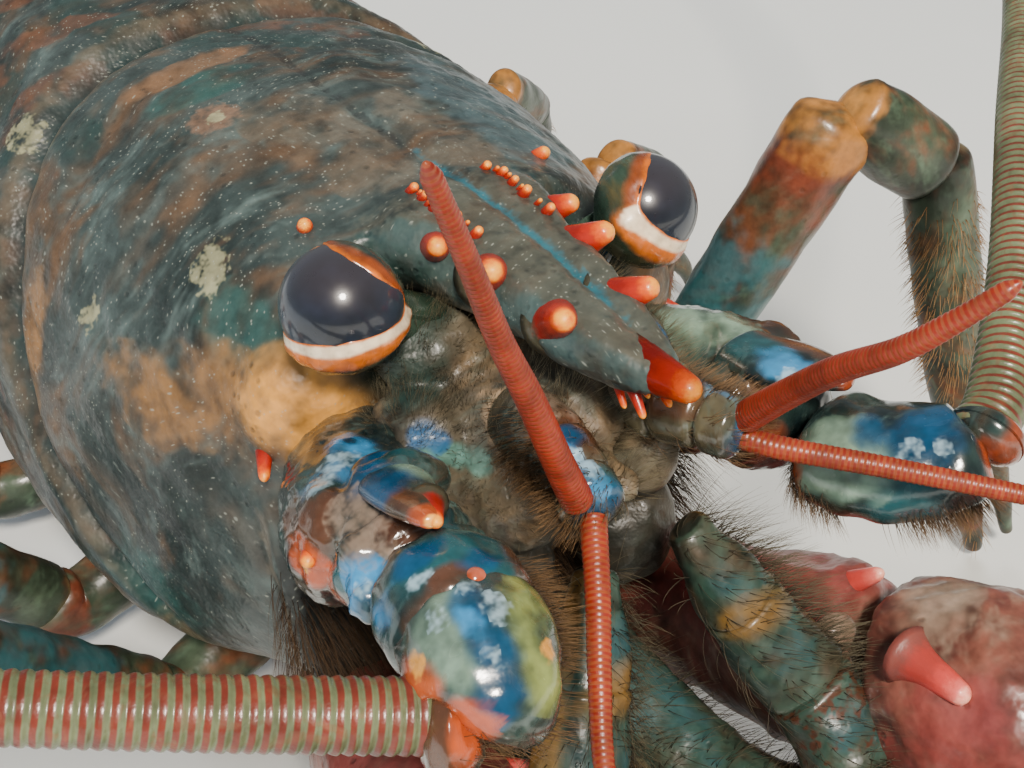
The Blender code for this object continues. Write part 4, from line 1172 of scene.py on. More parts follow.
    def build(self) -> None:
        """Make the shell's pieces."""
        cols = 256
        degrees = np.linspace(-180, 180, cols, endpoint=False)
        lines = [line(abs(degrees)) for line in (FRONT_LINE, GROOVE_LINE, REAR_LINE)]
        rows = [lines[0] + (lines[1] - lines[0]) * s for s in np.linspace(0, 1, 60)]
        rows += [lines[1] + (lines[2] - lines[1]) * s for s in np.linspace(0, 1, 60)[1:]]
        shell = Surface.grid(np.stack([shell_points(y, degrees) for y in rows]))
        keys = np.array(ROSTRUM, float)
        line = catmull(keys, 6)
        beak = Surface.grid(np.stack([ring(y, top - t / 2, w, t / 2, 2.4, 64) for y, w, top, t in line]))
        cheeks = [ball((side * 13.2, -0.2, -9.4), (7.6, 4.6, 6.0)) for side in SIDES.values()]
        skin = fused([shell, beak, *cheeks], self.voxel, 5)
        cheek = patches(skin.points, *(((side * 17.0, 0.6, -9.4), (9.0, 7.5, 9.0), 0.9) for side in SIDES.values()))
        skin = softened(skin, cheek, 60)
        x, y, z = skin.points.T
        hidden = (abs(x) < 20) & (z < -42) & (y > 12) & (y < 84)
        hidden |= (y > 86) & (np.hypot(x, (z + 18) * 1.1) < 15)
        skin = self.relief(skin.kept(~hidden))
        skin.masks = self.masks(skin.points)
        finish = Finish(
            "shell", 0x1A2322, 0x353F3D, 0x54402E, 0x52605C, warm_share=0.4, pale_share=0.3, streak=2.0,
            scale=75.0, roughness=0.45, coat=0.2, pits=0.4, pit_scale=820.0, grain=0.5, relief=0.0002, specks=0.55,
            marks=(
                Mark("mottle", 0x1E302E, 1.4, 260, 0.6, 0.75, 0.5),
                Mark("rust", 0x583624, 1.6, 260, 0.65, 0.55, 0.5),
                Mark("bluish", 0x3E5054, 1.1, 260, 0.55, 0.6, 0.4),
                Mark("tan", 0x5E4E3C, 1.5, 260, 0.6, 0.45, 0.6),
                Mark("teal", 0x244642, 1.2, 260, 0.5, 0.7, 0.6),
                Mark("cheek", 0x7C5830, 1.3, 260, 0.55, 0.8, 0.7), Mark("gold", 0xBE8438, 0.8, 260, 0.5, 0.95, 0.8),
                Mark("crescent", 0x6C5038, 1.2, 260, 0.5, 0.7, 0.6),
                Mark("halo", 0x745844, 0.9, 800, 0.5, 0.7, 0.5),
                Mark("lip", 0x564A3A, 1.3, 260, 0.6, 0.5, 0.6),
                # Painted shade: darker colour along the crease of the cervical groove.
                Mark("groove", 0x1C2A2A, 0.9, 260, 0.5, 0.7, 0.5),
                Mark("beak", 0x48493F, 0.9, 800, 0.5, 0.75, 0.5),
                Mark("beak_edge", 0x23484A, 1.6, 260, 0.75, 0.45, 0.5),
                Mark("dark_line", 0x1C1C1C, 0.8, 800, 0.6, 0.6),
                Mark("blue_line", 0x1A5662, 0.7, 800, 0.5, 0.85, 0.4),
                Mark("scab", 0x8A8868, 2.2, 800, 0.5, 0.8, 0.5),
                Mark("hem", 0x6A6050, 1.0, 260, 0.55, 0.6, 0.4),
                Mark("rim", 0x161C1C, 0.6, 800, 0.5, 0.8),
                Mark("low", 0x5E4E38, 1.2, 260, 0.7, 0.7, 0.4),
                # Painted shade: dark patches in the hollows round the eye sockets.
                Mark("socket", 0x1A2C26, 0.8, 260, 0.5, 0.92, 0.6),
            ),
        )
        self.body.piece("carapace_skin", skin, self.palette.paint(finish), Slot.SHELL, ("carapace",))
        angle = shell_degrees(skin.points)
        edge = skin.points[:, 1] - FRONT_LINE(angle)
        beard = smooth(88.0, 100.0, angle) * smooth(4.0, 1.0, abs(edge))
        self.emitters.append((skin, np.array((0.0, -0.8, -0.5)), {"kind": "beard", "dense": beard}))
        self.body.piece(
            "carapace_spines", self.spines(), self.palette.spine(), Slot.SHELL
        )

    @staticmethod
    def spines() -> Surface:
        """The named spines, the two rows of tubercles and the fine grains of the ridge."""
        rng = np.random.default_rng(SEED)
        parts = []
        for side in SIDES.values():
            for root, tip, radius, blunt in SHELL_SPINES:
                parts.append(Spine(
                    (side * root[0], *root[1:]), (side * tip[0], *tip[1:]), radius, blunt, 0.5, 0.03, 28
                ).surface())
            parts.append(Spine((0.0, -18.6, -0.9), (0.0, -26.4, 0.5), 2.0, 0.42, 0.0, 0.0, 28).surface())
            for k, (x, y, z) in enumerate(catmull(np.array(TUBERCLES), 2)):
                size = rng.uniform(0.2, 0.28) if k % 2 else rng.uniform(0.42, 0.55)
                x, y = x + rng.normal(0, 0.12), y + rng.normal(0, 0.12)
                parts.append(Spine(
                    (side * x, y + 0.7, z - 1.2), (side * x, y - 0.5, z + size * 0.8), size, 0.6, 0.3, 0.0, 12
                ).surface())
        return Surface.joined(parts)


@dataclass
class Eyes(Builder):
    """The two corneas and their stalks with pale and orange rims."""

    radius: float = 4.4

    def build(self) -> None:
        """Make both eyes."""
        glass = self.palette.cornea()
        finish = Finish(
            "eye_stalk", 0x14221C, 0x28382C, 0x4C4224, 0x3E5448, warm_share=0.35, pale_share=0.3, scale=260.0,
            roughness=0.32, coat=0.5, pits=0.15, pit_scale=1600.0, grain=0.2, relief=0.00006,
            marks=(
                Mark("blue", 0x1C5478, 0.8, 260, 0.5, 0.8),
                Mark("tongue", 0x7C3812, 0.7, 260, 0.45, 0.9, 0.45),
                Mark("orange", 0xC0600E, 0.4, 800, 0.5, 0.92, 0.7),
                Mark("white", 0xE0D0B0, 0.3, 800, 0.5, 0.92, 0.6),
            ),
        )
        skin = self.palette.paint(finish)
        for name, side in SIDES.items():
            self.eye(name, side, glass, skin)

    def eye(self, name: str, side: float, glass: bpy.types.Material, skin: bpy.types.Material) -> None:
        """One cornea and its stalk.

        Args:
            name: Which side of the animal.
            side: +1 on its left.
            glass: Finish of the cornea.
            skin: Finish of the stalk.
        """
        centre = np.array(EYES[name])
        rim = EYE_RIMS[name]
        out = np.array(rim.axis) / np.linalg.norm(rim.axis)
        root = np.array((side * 3.0, -4.0, -6.4))
        orb = ball(tuple(centre), (self.radius,) * 3, 96)
        rise = (orb.points - centre)[:, 2] / self.radius
        orb.masks = {"upper": smooth(0.2, 0.9, rise)}
        look = (orb.points - centre) / self.radius
        over = np.maximum(look @ np.array(rim.chord) - rim.chord_at, look @ np.array(rim.low) - rim.low_at)
        over = np.maximum(over, smooth(-0.2, -0.5, look @ out))
        orb.points = centre + (orb.points - centre) * (1 - 0.3 * smooth(0.05, 0.35, over))[:, None]
        self.body.piece(f"cornea_{name}", orb, glass, Slot.CORNEA, (f"eye_{name}",))
        turns = math.tau * np.arange(96) / 96
        across = np.cross(out, (0, 0, 1))
        across /= np.linalg.norm(across)
        upward = np.cross(across, out)
        ways = upward * np.cos(turns)[:, None] + across * np.sin(turns)[:, None]
        steps = np.linspace(0.2, 1.75, 320)
        look = out * np.cos(steps)[:, None, None] + ways * np.sin(steps)[:, None, None]
        past_chord, past_low = look @ np.array(rim.chord) - rim.chord_at, look @ np.array(rim.low) - rim.low_at
        past = np.log(np.exp(20 * past_chord) + np.exp(20 * past_low) + np.exp(16 * (steps - 1.7))[:, None]) / 20
        first = np.argmax(past > 0, axis=0)
        polar = steps[first]
        gap = np.take_along_axis(past_low - past_chord, first[None], 0)[0]
        low, notch = smooth(-0.15, 0.1, gap), smooth(0.1, -0.15, gap) * smooth(1.7, 1.5, polar)
        corner = np.exp(-((gap / 0.3) ** 2)) * smooth(1.6, 1.3, polar)
        rows, edge, tongue = [], [], []
        for share in np.linspace(0, 1, 30):
            angle = polar + (math.radians(156) - polar) * share
            lift = self.radius + 0.04 + (0.16 + 0.5 * low) * smooth(0, 0.28, np.array(share)) - 1.3 * share**2
            rows.append(centre + lift[:, None] * (out * np.cos(angle)[:, None] + ways * np.sin(angle)[:, None]))
            edge.append((angle - polar) * self.radius)
            tongue.append(notch)
        throat = rows[-1]
        middle = throat.mean(0)
        for share in np.linspace(0, 1, 16)[1:]:
            here = middle + (root - middle) * share
            swell = 1 + 0.75 * math.sin(math.pi * min(1.0, share * 1.15)) * 0.9 + 0.2 * share
            rows.append(here + (throat - middle) * swell)
            edge.append(edge[-1] + 0.6)
            tongue.append(notch * (1 - share))
        edge = np.array(edge)
        tongue = np.array(tongue)
        under = low[None] + 0 * edge
        masks = {
            "white": smooth(
                1.35, 1.0, edge / (0.12 + 0.7 * under + 0.7 * corner)
            ) * smooth(0.15, 0.5, under) * smooth(0.0, 0.1, edge),
            "orange": smooth(2.6, 1.7, edge) * under + smooth(0.4, 0.2, edge) * (1 - under),
            "tongue": tongue * smooth(1.9, 0.5, edge),
            "blue": near(
                np.array(rows).reshape(-1, 3), tuple(centre - out * 3 + (0, -1, -2)), 2.6
            ).reshape(edge.shape),
        }
        stalk = Surface.grid(np.array(rows), caps=True, masks=masks)
        stalk = stalk.pushed(0.06 * lumps(stalk.points, 0.9, 5))
        self.body.piece(f"stalk_{name}", stalk, skin, Slot.STALK, (f"eyestalk_{name}",))


@dataclass(frozen=True)
class Lash:
    """A ringed feeler along points, its radii in millimetres."""

    points: tuple[Point, ...]
    radii: tuple[float, float]
    pitch: float = 0.92
    depth: float = 0.07


class RingedFeelers:
    """Sweeps ringed feelers with Geometry Nodes: each ring swells and narrows along the path."""

    def __init__(self) -> None:
        """Build the node group."""
        tree = bpy.data.node_groups.new("ringed_feeler", "GeometryNodeTree")
        self.tree = tree
        face = tree.interface
        face.new_socket("Geometry", in_out="INPUT", socket_type="NodeSocketGeometry")
        self.pitch = face.new_socket("Ring Pitch", in_out="INPUT", socket_type="NodeSocketFloat").identifier
        self.depth = face.new_socket("Ring Depth", in_out="INPUT", socket_type="NodeSocketFloat").identifier
        self.sides = face.new_socket("Sides", in_out="INPUT", socket_type="NodeSocketInt").identifier
        self.material = face.new_socket("Material", in_out="INPUT", socket_type="NodeSocketMaterial").identifier
        face.new_socket("Geometry", in_out="OUTPUT", socket_type="NodeSocketGeometry")
        g = Graph(tree)
        start, end = tree.nodes.new("NodeGroupInput"), tree.nodes.new("NodeGroupOutput")
        step = g.math("DIVIDE", start.outputs["Ring Pitch"], 6.0)
        even = g.node("GeometryNodeResampleCurve", {"Curve": start.outputs[0], "Length": step}, mode="LENGTH")
        place = g.node("GeometryNodeSplineParameter", {})
        thin = g.math("POWER", g.math("SUBTRACT", 1.0, g.math("MULTIPLY", place.outputs["Factor"], 0.62)), 0.85)
        left = g.math("MINIMUM", g.math("MULTIPLY", g.math("SUBTRACT", 1.0, place.outputs["Factor"]), 30.0), 1.0)
        round_tip = g.math("MAXIMUM", g.math("POWER", left, 0.5), 0.05)
        phase = g.math("DIVIDE", place.outputs["Length"], start.outputs["Ring Pitch"])
        wave = g.math("FRACT", phase)
        hump = g.math("SINE", g.math("MULTIPLY", g.math("POWER", wave, 0.7), math.pi))
        radius = g.node("GeometryNodeInputRadius", {}).outputs[0]
        swell = g.math("ADD", 1.0, g.math("MULTIPLY", g.math("SUBTRACT", hump, 0.6), start.outputs["Ring Depth"]))
        sized = g.node(
            "GeometryNodeSetCurveRadius", {"Curve": even.outputs[0], "Radius": g.math("MULTIPLY", radius, swell)}
        )
        kept = g.node(
            "GeometryNodeStoreNamedAttribute",
            {"Geometry": sized.outputs[0], "Name": "rings", "Value": phase},
            data_type="FLOAT", domain="POINT",
        )
        taper = g.node(
            "GeometryNodeStoreNamedAttribute",
            {"Geometry": kept.outputs[0], "Name": "along", "Value": g.math("SUBTRACT", 1.0, thin)},
            data_type="FLOAT", domain="POINT",
        )
        circle = g.node("GeometryNodeCurvePrimitiveCircle", {"Resolution": start.outputs["Sides"], "Radius": 1.0})
        swept = g.node(
            "GeometryNodeCurveToMesh",
            {
                "Curve": taper.outputs[0], "Profile Curve": circle.outputs[0], "Fill Caps": True,
                "Scale": g.math("MULTIPLY", radius, round_tip)
            },
        )
        soft = g.node("GeometryNodeSetShadeSmooth", {"Geometry": swept.outputs[0]})
        real = g.node("GeometryNodeRealizeInstances", {"Geometry": soft.outputs[0]})
        done = g.node(
            "GeometryNodeSetMaterial", {"Geometry": real.outputs[0], "Material": start.outputs["Material"]}
        )
        tree.links.new(done.outputs[0], end.inputs[0])

    def sweep(self, lash: Lash, body: Body, material: bpy.types.Material, sides: int = 24) -> bpy.types.Mesh:
        """Sweep one feeler.

        Args:
            lash: Its path, radii and rings.
            body: Where the animal stands.
            material: Its finish.
            sides: Faces round it.

        Returns:
            A plain mesh in the row frame.
        """
        line = catmull(np.array(lash.points, float), 14)
        curve = bpy.data.curves.new("path", "CURVE")
        curve.dimensions = "3D"
        run = curve.splines.new("POLY")
        run.points.add(len(line) - 1)
        for k, (point, spot) in enumerate(zip(run.points, line)):
            share = k / (len(line) - 1)
            point.co = (*body.point(spot), 1.0)
            point.radius = (lash.radii[0] + (lash.radii[1] - lash.radii[0]) * share) * MM
        obj = placed("path", curve)
        modifier = obj.modifiers.new("rings", "NODES")
        modifier.node_group = self.tree
        modifier[self.pitch] = lash.pitch * MM
        modifier[self.depth] = lash.depth
        modifier[self.sides] = sides
        modifier[self.material] = material
        mesh = plain(obj)
        bpy.data.objects.remove(obj)
        return mesh


# A mark is drawn a little wider than its spot, and fades over most of it.
MARK_SPREAD = 1.12
MARK_SOFTNESS = 0.95


def mirrored(stations: tuple[Station, ...], side: float) -> tuple[Station, ...]:
    """Stations told for the animal's left, on either side."""
    return tuple(((side * p[0], p[1], p[2]), w, h) for p, w, h in stations)


def marked(surface: Surface, **spots: list[tuple[Point, float | Point]]) -> Surface:
    """Give a surface a mask for each named list of soft spots."""
    for name, places in spots.items():
        spread = ((spot, np.array(reach) * MARK_SPREAD, MARK_SOFTNESS) for spot, reach in places)
        surface.masks[name] = patches(surface.points, *spread)
    return surface


@dataclass
class Head(Builder):
    """The skin between the eyes, feelers and mouth, and the breastplate behind it."""

    def build(self) -> None:
        """Make the face and the sternum."""
        rows = (
            (2.0, 15.0, -19.0, 14.0), (-6.0, 13.0, -17.0, 12.0), (-11.0, 11.0, -15.0, 9.5), (-15.5, 8.0, -13.0, 7.0)
        )
        line = catmull(np.array(rows), 8)
        parts = [Surface.grid(np.stack([ring(y, z, w, h, 2.4, 64) for y, w, z, h in line]))]
        for side in SIDES.values():
            parts.append(ball((side * 9.6, -8.2, -9.6), (3.6, 4.2, 2.8)))
            parts.append(ball((side * 6.4, -4.0, -6.0), (4.6, 4.0, 3.4)))
            parts.append(ball((side * 5.6, -15.0, -14.0), (3.4, 3.6, 4.2)))
            parts.append(ball((side * 6.2, -14.0, -23.0), (4.4, 4.0, 5.4)))
        parts.append(ball((side * 9.9, -12.6, -11.0), (2.9, 2.4, 1.8)))
        parts.append(ball((0.0, -13.0, -9.0), (5.0, 5.0, 3.0)))
        parts.append(ball((0.0, -18.4, -12.0), (1.6, 2.6, 1.6)))
        face = fused(parts, 0.4, 5)
        face = face.pushed(0.22 * lumps(face.points, 2.2, 3) + 0.08 * lumps(face.points, 0.8, 4))
        marked(
            face,
            plate=[
                ((s * x, y, z), (1.2, 1.2, 0.9)) for s in SIDES.values() for x, y,
                z in ((11.2, -11.7, -9.7), (9.9, -12.5, -9.8), (8.5, -13.8, -9.8))
            ],
            blue=[((-11.4, -10.8, -8.0), 1.0), ((-10.7, -11.6, -8.4), 0.8), ((11.4, -10.8, -8.0), 1.2)],
            green=[
                ((s * x, y, z), 2.4) for s in SIDES.values() for x, y,
                z in ((8.8, -5.6, -3.6), (10.6, -7.0, -5.4), (7.4, -4.0, -2.6))
            ],
            # Painted shade: the deep patches darken the face's underside round the mouth, between the mouth limbs.
            deep=[((0, -10.0, -30.0), (16, 10, 8)), ((0, -17.0, -21.0), (10, 4, 5))],
            pink=[((-5.0, -14.0, -9.0), 3.0), ((5.0, -14.0, -9.0), 3.0)],
        )
        finish = Finish(
            "face", 0x2E2C26, 0x5C5444, 0x6E5A40, 0x5C6458, warm_share=0.45, pale_share=0.3, scale=190.0,
            roughness=0.5,
            coat=0.15, pits=0.25, pit_scale=1300.0, grain=0.5, relief=0.00016,
            marks=(
                # Painted shade: the deep mark darkens the face's underside round the mouth.
                Mark("pink", 0xA08466, 1.2, 260, 0.6, 0.6), Mark("deep", 0x1C1E1A, 0.9, 260, 0.5, 0.85),
                Mark("plate", 0x5E8C80, 0.7, 260, 0.5, 0.85, 0.5), Mark("blue", 0x14527C, 1.0, 260, 0.5, 0.85, 0.5),
                Mark("green", 0x1C3430, 1.0, 260, 0.5, 0.85, 0.6),
            ),
        )
        self.body.piece("head_skin", face, self.palette.paint(finish), Slot.FACE, ("face",))
        fuzz = (0.15 + (lumps(face.points, 1.6, 12) > 0.1)) * smooth(-16.0, -10.0, face.points[:, 2])
        self.emitters.append((face, np.array((0.0, -0.3, 0.5)), {"kind": "face", "dense": fuzz}))
        rows = (
            (-2.0, 7.0, 4.0), (12.0, 11.0, 6.6), (35.0, 14.0, 8.0), (58.0, 15.0, 7.6), (76.0, 13.0, 6.0),
            (86.0, 9.0, 4.0)
        )
        line = catmull(np.array(rows), 14)
        plate = Surface.grid(np.stack([ring(y, -44.0, w, h, 3.0, 72) for y, w, h in line]))
        x, y, z = plate.points.T
        joints = np.abs(((y - 9.0) / 16.0) % 1.0 - 0.5)
        plate = plate.pushed(
            (
                -0.5 * np.exp(-((x / 0.7) ** 2)) - 0.6 * np.exp(
                    -((joints / 0.05) ** 2)
                ) + 0.15 * lumps(plate.points, 3.0, 6)
            ) * (z < -44)
        )
        plate.masks = {"joint": np.exp(-((joints / 0.07) ** 2))}
        finish = Finish(
            "belly", 0x4A3020, 0x8A5634, 0x9C6C40, 0x6A6448, pale_share=0.3, scale=120.0, roughness=0.5, coat=0.1,
            marks=(Mark("joint", 0xD9B98C, 0.5, 400, 0.5, 0.8),),
        )
        self.body.piece("breastplate", plate, self.palette.paint(finish), Slot.BELLY, ("sternum",))


FEELER_MARKS = (
    Mark("teal", 0x14484E, 1.2, 260, 0.5, 0.8, 0.7),
    Mark("brown", 0x4C2C1A, 1.1, 260, 0.5, 0.88, 0.6),
    Mark("cream", 0x748C78, 1.3, 260, 0.5, 0.85, 0.7),
    Mark("green", 0x808C4C, 1.2, 260, 0.5, 0.8, 0.7),
    Mark("blue", 0x0A3C5A, 1.1, 260, 0.5, 0.9, 0.6),
    Mark("sky", 0x3482B2, 1.4, 260, 0.6, 0.85, 0.7),
    Mark("pink", 0x7C6A5A, 1.6, 800, 0.5, 0.75, 0.7),
    # Painted highlight: the white mark puts pale blue-white gloss spots on the feelers' shells.
    Mark("white", 0xA4C0CA, 2.0, 800, 0.6, 0.6, 0.8),
    Mark("orange", 0xA4441A, 0.9, 260, 0.5, 0.9, 0.5),
    Mark("yellow", 0xD8963C, 0.7, 800, 0.5, 0.95, 0.4),
    Mark("dark", 0x14181A, 0.9, 260, 0.5, 0.9, 0.5),
)
FEELER_SHELL = Finish(
    "feeler_shell", 0x101C1E, 0x2A3C38, 0x40382A, 0x4A5E58, warm_share=0.4, pale_share=0.3, scale=230.0,
    roughness=0.22, coat=0.8, pits=0.15, pit_scale=1300.0, grain=0.25, relief=0.00009, marks=FEELER_MARKS, blots=0.3,
)


@dataclass
class Antennae(Builder):
    """The long feelers: armoured base, scale, glossy wrist and ringed whip."""

    def build(self) -> None:
        """Make both feelers."""
        shell = self.palette.paint(FEELER_SHELL)
        whip = self.palette.paint(Finish(
            "whip", 0x3E2418, 0x6A3A26, 0x84502E, 0x6C7656, warm_share=0.35, pale_share=0.2, scale=300.0,
            roughness=0.4, coat=0.25, pits=0.1, pit_scale=1800.0, grain=0.4, relief=0.00006,
            bands=("rings", 0x64281C, 0x5C6448), ring_cut=-0.1,
            marks=(Mark("along", 0x7C3218, 0.9, 260, 0.6, 0.7),),
        ))
        self.right(shell)
        self.left(shell)
        rings = RingedFeelers()
        whips = {
            "right": ((-22.0, -32.0, -12.0), (-27.6, -29.6, -10.8), (-45.1, -21.6, -6.4), (-70.0, -8.0, -1.0),
                      (-98.0, 14.0, 3.0), (-121.0, 44.0, 4.0), (-137.0, 80.0, 1.0), (-144.0, 118.0, -6.0), (
                          -145.0, 139.6, -12.0
                      )),
            "left": ((22.6, -33.4, -9.6), (26.6, -31.6, -8.2), (36.4, -24.2, -4.0), (49.4, -12.9, 0.8), (71.0, 5.0, 4.6),
                     (95.0, 29.0, 8.0), (114.0, 60.0, 9.0), (127.0, 98.0, 5.0), (132.0, 125.7, -2.0)),
        }
        for name, points in whips.items():
            points = tuple((x + 0.32, y + 0.43, z + 0.73) for x, y, z in points)
            mesh = rings.sweep(Lash(points, (2.45, 0.9), 0.82, 0.08), self.body, whip, 28)
            self.body.adopt(
                f"whip_{name}", mesh, whip, Slot.LASH, (f"antenna_{name}_whip_near", f"antenna_{name}_whip_far")
            )

    def right(self, shell: bpy.types.Material) -> None:
        """The right feeler's base, as the photo shows it."""
        base = Limb((
            ((-12.0, -3.0, -16.0), 5.4, 6.2), ((-15.2, -8.0, -14.4), 5.8, 6.4), ((-18.0, -12.8, -12.6), 5.4, 5.8),
            ((-18.2, -16.4, -11.6), 4.8, 5.0),
        ), sides=64, collar=0.0).surface()
        second = Limb((
            ((-17.0, -13.6, -11.4), 3.6, 4.4), ((-17.8, -17.4, -10.8), 4.9, 5.0), ((-17.4, -21.4, -10.2), 4.6, 4.3),
            ((-17.6, -23.4, -10.0), 3.8, 3.6),
        ), sides=56, collar=0.0).surface()
        lobe = ball((-20.0, -14.6, -11.2), (3.4, 4.4, 4.4))
        shelf = ball((-16.4, -15.6, -7.4), (4.0, 3.0, 2.2))
        crust = ball((-20.2, -18.4, -8.6), (2.6, 2.4, 2.4))
        knob = ball((-21.4, -21.0, -10.2), (2.2, 1.9, 1.9))
        skin = fused([base, second, lobe, shelf, crust, knob], 0.33, 3)
        p = skin.points
        fold = np.exp(-(((p[:, 1] + 17.2 + 0.25 * (p[:, 2] + 9)) / 0.5) ** 2))
        fold2 = np.exp(-(((p[:, 1] + 20.6 + 0.2 * (p[:, 2] + 9)) / 0.4) ** 2))
        skin = skin.pushed(-0.55 * fold - 0.4 * fold2 + 0.16 * lumps(p, 1.6, 7) + 0.06 * lumps(p, 0.6, 8))
        marked(
            skin,
            brown=[
                ((-22.6, -13.9, -8.9), (1.8, 2.8, 2.4)), ((-20.6, -14.2, -7.2), (1.5, 0.9, 0.9)),
                ((-18.8, -20.2, -5.8), (1.9, 1.9, 1.4))
            ],
            sky=[
                ((-16.6, -9.6, -7.2), (1.7, 1.4, 1.3)), ((-19.8, -11.8, -7.4), (2.5, 1.4, 1.4)),
                ((-22.4, -20.8, -9.0), (1.5, 1.6, 1.7))
            ],
            # Painted highlights: the white spots on the base.
            white=[
                ((-18.5, -11.1, -7.1), (1.3, 0.9, 1.1)), ((-20.6, -12.2, -7.4), (1.0, 0.7, 0.9)),
                ((-22.6, -21.2, -8.6), 0.6)
            ],
            pink=[((-20.5, -16.6, -6.8), (1.5, 1.5, 1.4)), ((-20.9, -18.9, -7.0), (1.5, 1.6, 1.4))],
            dark=[((-19.6, -15.0, -6.6), (0.6, 0.5, 0.6)), ((-21.4, -17.9, -7.6), 0.5), ((-16.4, -9.3, -7.2), 0.5)],
            blue=[
                ((-16.3, -9.2, -7.2), 0.8), ((-18.4, -15.4, -6.0), (2.0, 1.3, 1.1)),
                ((-23.2, -20.2, -9.8), (0.8, 0.9, 1.1))
            ],
            orange=[((-23.3, -15.2, -11.5), (1.2, 2.0, 1.7)), ((-22.8, -17.4, -12.6), 1.2)],
            yellow=[((-23.6, -14.6, -11.3), 0.6)],
            teal=[((-18.0, -22.0, -6.4), (2.6, 1.6, 1.6)), ((-15.6, -13.2, -6.4), 1.8), ((-22.2, -18.8, -10.6), 1.8)],
        )
        self.body.piece("antenna_right_base", skin, shell, Slot.FEELER, ("antenna_right_base",))
        scale = Limb((
            ((-16.2, -12.6, -7.6), 2.0, 1.3), ((-17.1, -16.4, -6.1), 2.5, 1.1), ((-18.2, -20.6, -4.3), 1.8, 0.9),
            ((-19.2, -24.3, -2.6), 0.6, 0.45),
        ), sides=40).surface()
        marked(
            scale,
            cream=[((-15.4, -16.6, -5.2), (1.2, 2.4, 1.2))],
            blue=[((-18.6, -17.6, -5.0), (1.8, 2.4, 1.3)), ((-16.6, -14.0, -6.2), 1.2)],
            brown=[((-18.8, -21.6, -3.8), (1.2, 2.2, 1.0))],
            orange=[((-19.0, -23.6, -2.8), (1.3, 1.2, 1.2))],
            yellow=[((-19.2, -24.6, -2.5), 0.6)],
        )
        self.body.piece("antenna_right_scale", scale, shell, Slot.FEELER, ("antenna_right_scale",))
        band = Limb((
            ((-18.0, -22.6, -9.8), 4.4, 4.0), ((-18.6, -25.2, -8.8), 5.1, 4.75), ((-19.0, -27.2, -8.6), 5.15, 4.8),
            ((-19.2, -28.7, -8.8), 4.8, 4.5),
        ), sides=64, collar=0.03, round_end=0.3).surface()
        wrist = Limb((
            ((-18.8, -25.8, -8.7), 4.3, 4.0), ((-19.1, -28.0, -8.6), 4.75, 4.45), ((-19.6, -30.4, -8.8), 4.85, 4.5),
            ((-20.7, -32.8, -10.1), 4.2, 4.1), ((-21.9, -33.5, -11.3), 3.3, 3.3),
        ), sides=64, collar=0.04).surface()
        collar = Limb(
            (((-21.4, -33.0, -10.8), 3.3, 3.3), ((-22.8, -32.2, -11.2), 3.2, 3.2), ((-24.6, -31.0, -11.0), 2.7, 2.7)),
            sides=64, steps=16
        ).surface()
        condyle = ball((-18.6, -28.1, -4.5), (0.75, 0.7, 0.65), 24)
        for part, seed in ((band, 11), (wrist, 12)):
            part.points = part.pushed(0.1 * lumps(part.points, 1.4, seed)).points
        marked(
            band,
            teal=[
                ((-19.6, -25.8, -4.4), (4.2, 1.6, 2.6)), ((-23.6, -26.0, -9.0), (2.0, 2.2, 3.0)),
                ((-16.6, -28.0, -4.6), (2.2, 2.2, 1.6))
            ],
            brown=[
                ((-22.4, -27.9, -5.6), (1.6, 0.9, 1.7)), ((-20.2, -27.6, -4.2), (1.6, 0.8, 1.0)),
                ((-14.8, -27.6, -6.0), (1.2, 1.6, 2.0))
            ],
            blue=[((-20.6, -24.8, -4.6), (1.6, 0.9, 1.2)), ((-17.4, -27.4, -3.9), (1.4, 0.8, 0.8))],
            sky=[((-23.4, -25.4, -6.8), (0.9, 1.1, 1.5))],
            # Painted highlight on the band.
            white=[((-21.4, -26.4, -4.7), (0.9, 0.4, 0.6))],
        )
        marked(
            wrist,
            cream=[
                ((-22.9, -30.0, -5.8), (1.8, 2.4, 1.7)), ((-21.2, -29.0, -4.8), (1.3, 1.0, 0.9)),
                ((-22.6, -32.4, -5.8), (0.9, 1.8, 1.2))
            ],
            blue=[
                ((-20.1, -30.0, -4.3), (1.3, 1.5, 1.1)), ((-20.6, -32.8, -5.0), (1.3, 2.0, 1.4)),
                ((-21.5, -34.7, -6.6), (1.4, 1.3, 1.7))
            ],
            sky=[((-20.9, -31.4, -4.5), (0.6, 1.4, 0.7))],
            # Painted highlights on the wrist.
            white=[
                ((-22.1, -29.3, -4.9), (0.6, 0.6, 0.5)), ((-19.0, -31.0, -4.3), (0.5, 1.0, 0.5)),
                ((-19.5, -28.8, -4.0), 0.5), ((-20.9, -33.6, -5.2), (0.3, 0.8, 0.5))
            ],
            green=[
                ((-17.6, -32.3, -5.3), (1.4, 2.2, 1.6)), ((-18.2, -34.7, -6.9), (1.3, 1.6, 1.9)),
                ((-16.2, -30.4, -6.6), (1.3, 2.0, 1.9))
            ],
            orange=[((-24.0, -30.6, -7.7), (1.1, 1.7, 1.3)), ((-23.0, -34.0, -8.6), (1.3, 1.3, 1.4))],
            yellow=[((-23.9, -30.0, -7.1), 0.7), ((-17.2, -33.8, -6.4), 0.6)],
        )
        folds = np.sin(collar.masks["along"] * 26.0) * smooth(0.05, 0.2, collar.masks["along"])
        collar.points = collar.pushed(0.12 * folds + 0.1 * lumps(collar.points, 0.8, 14)).points
        marked(
            collar, orange=[((-22.4, -34.8, -9.6), (1.6, 1.6, 1.8))], cream=[((-22.2, -34.6, -8.4), 0.7)],
            brown=[((-23.8, -32.6, -10.4), (2.4, 3.0, 3.4))]
        )
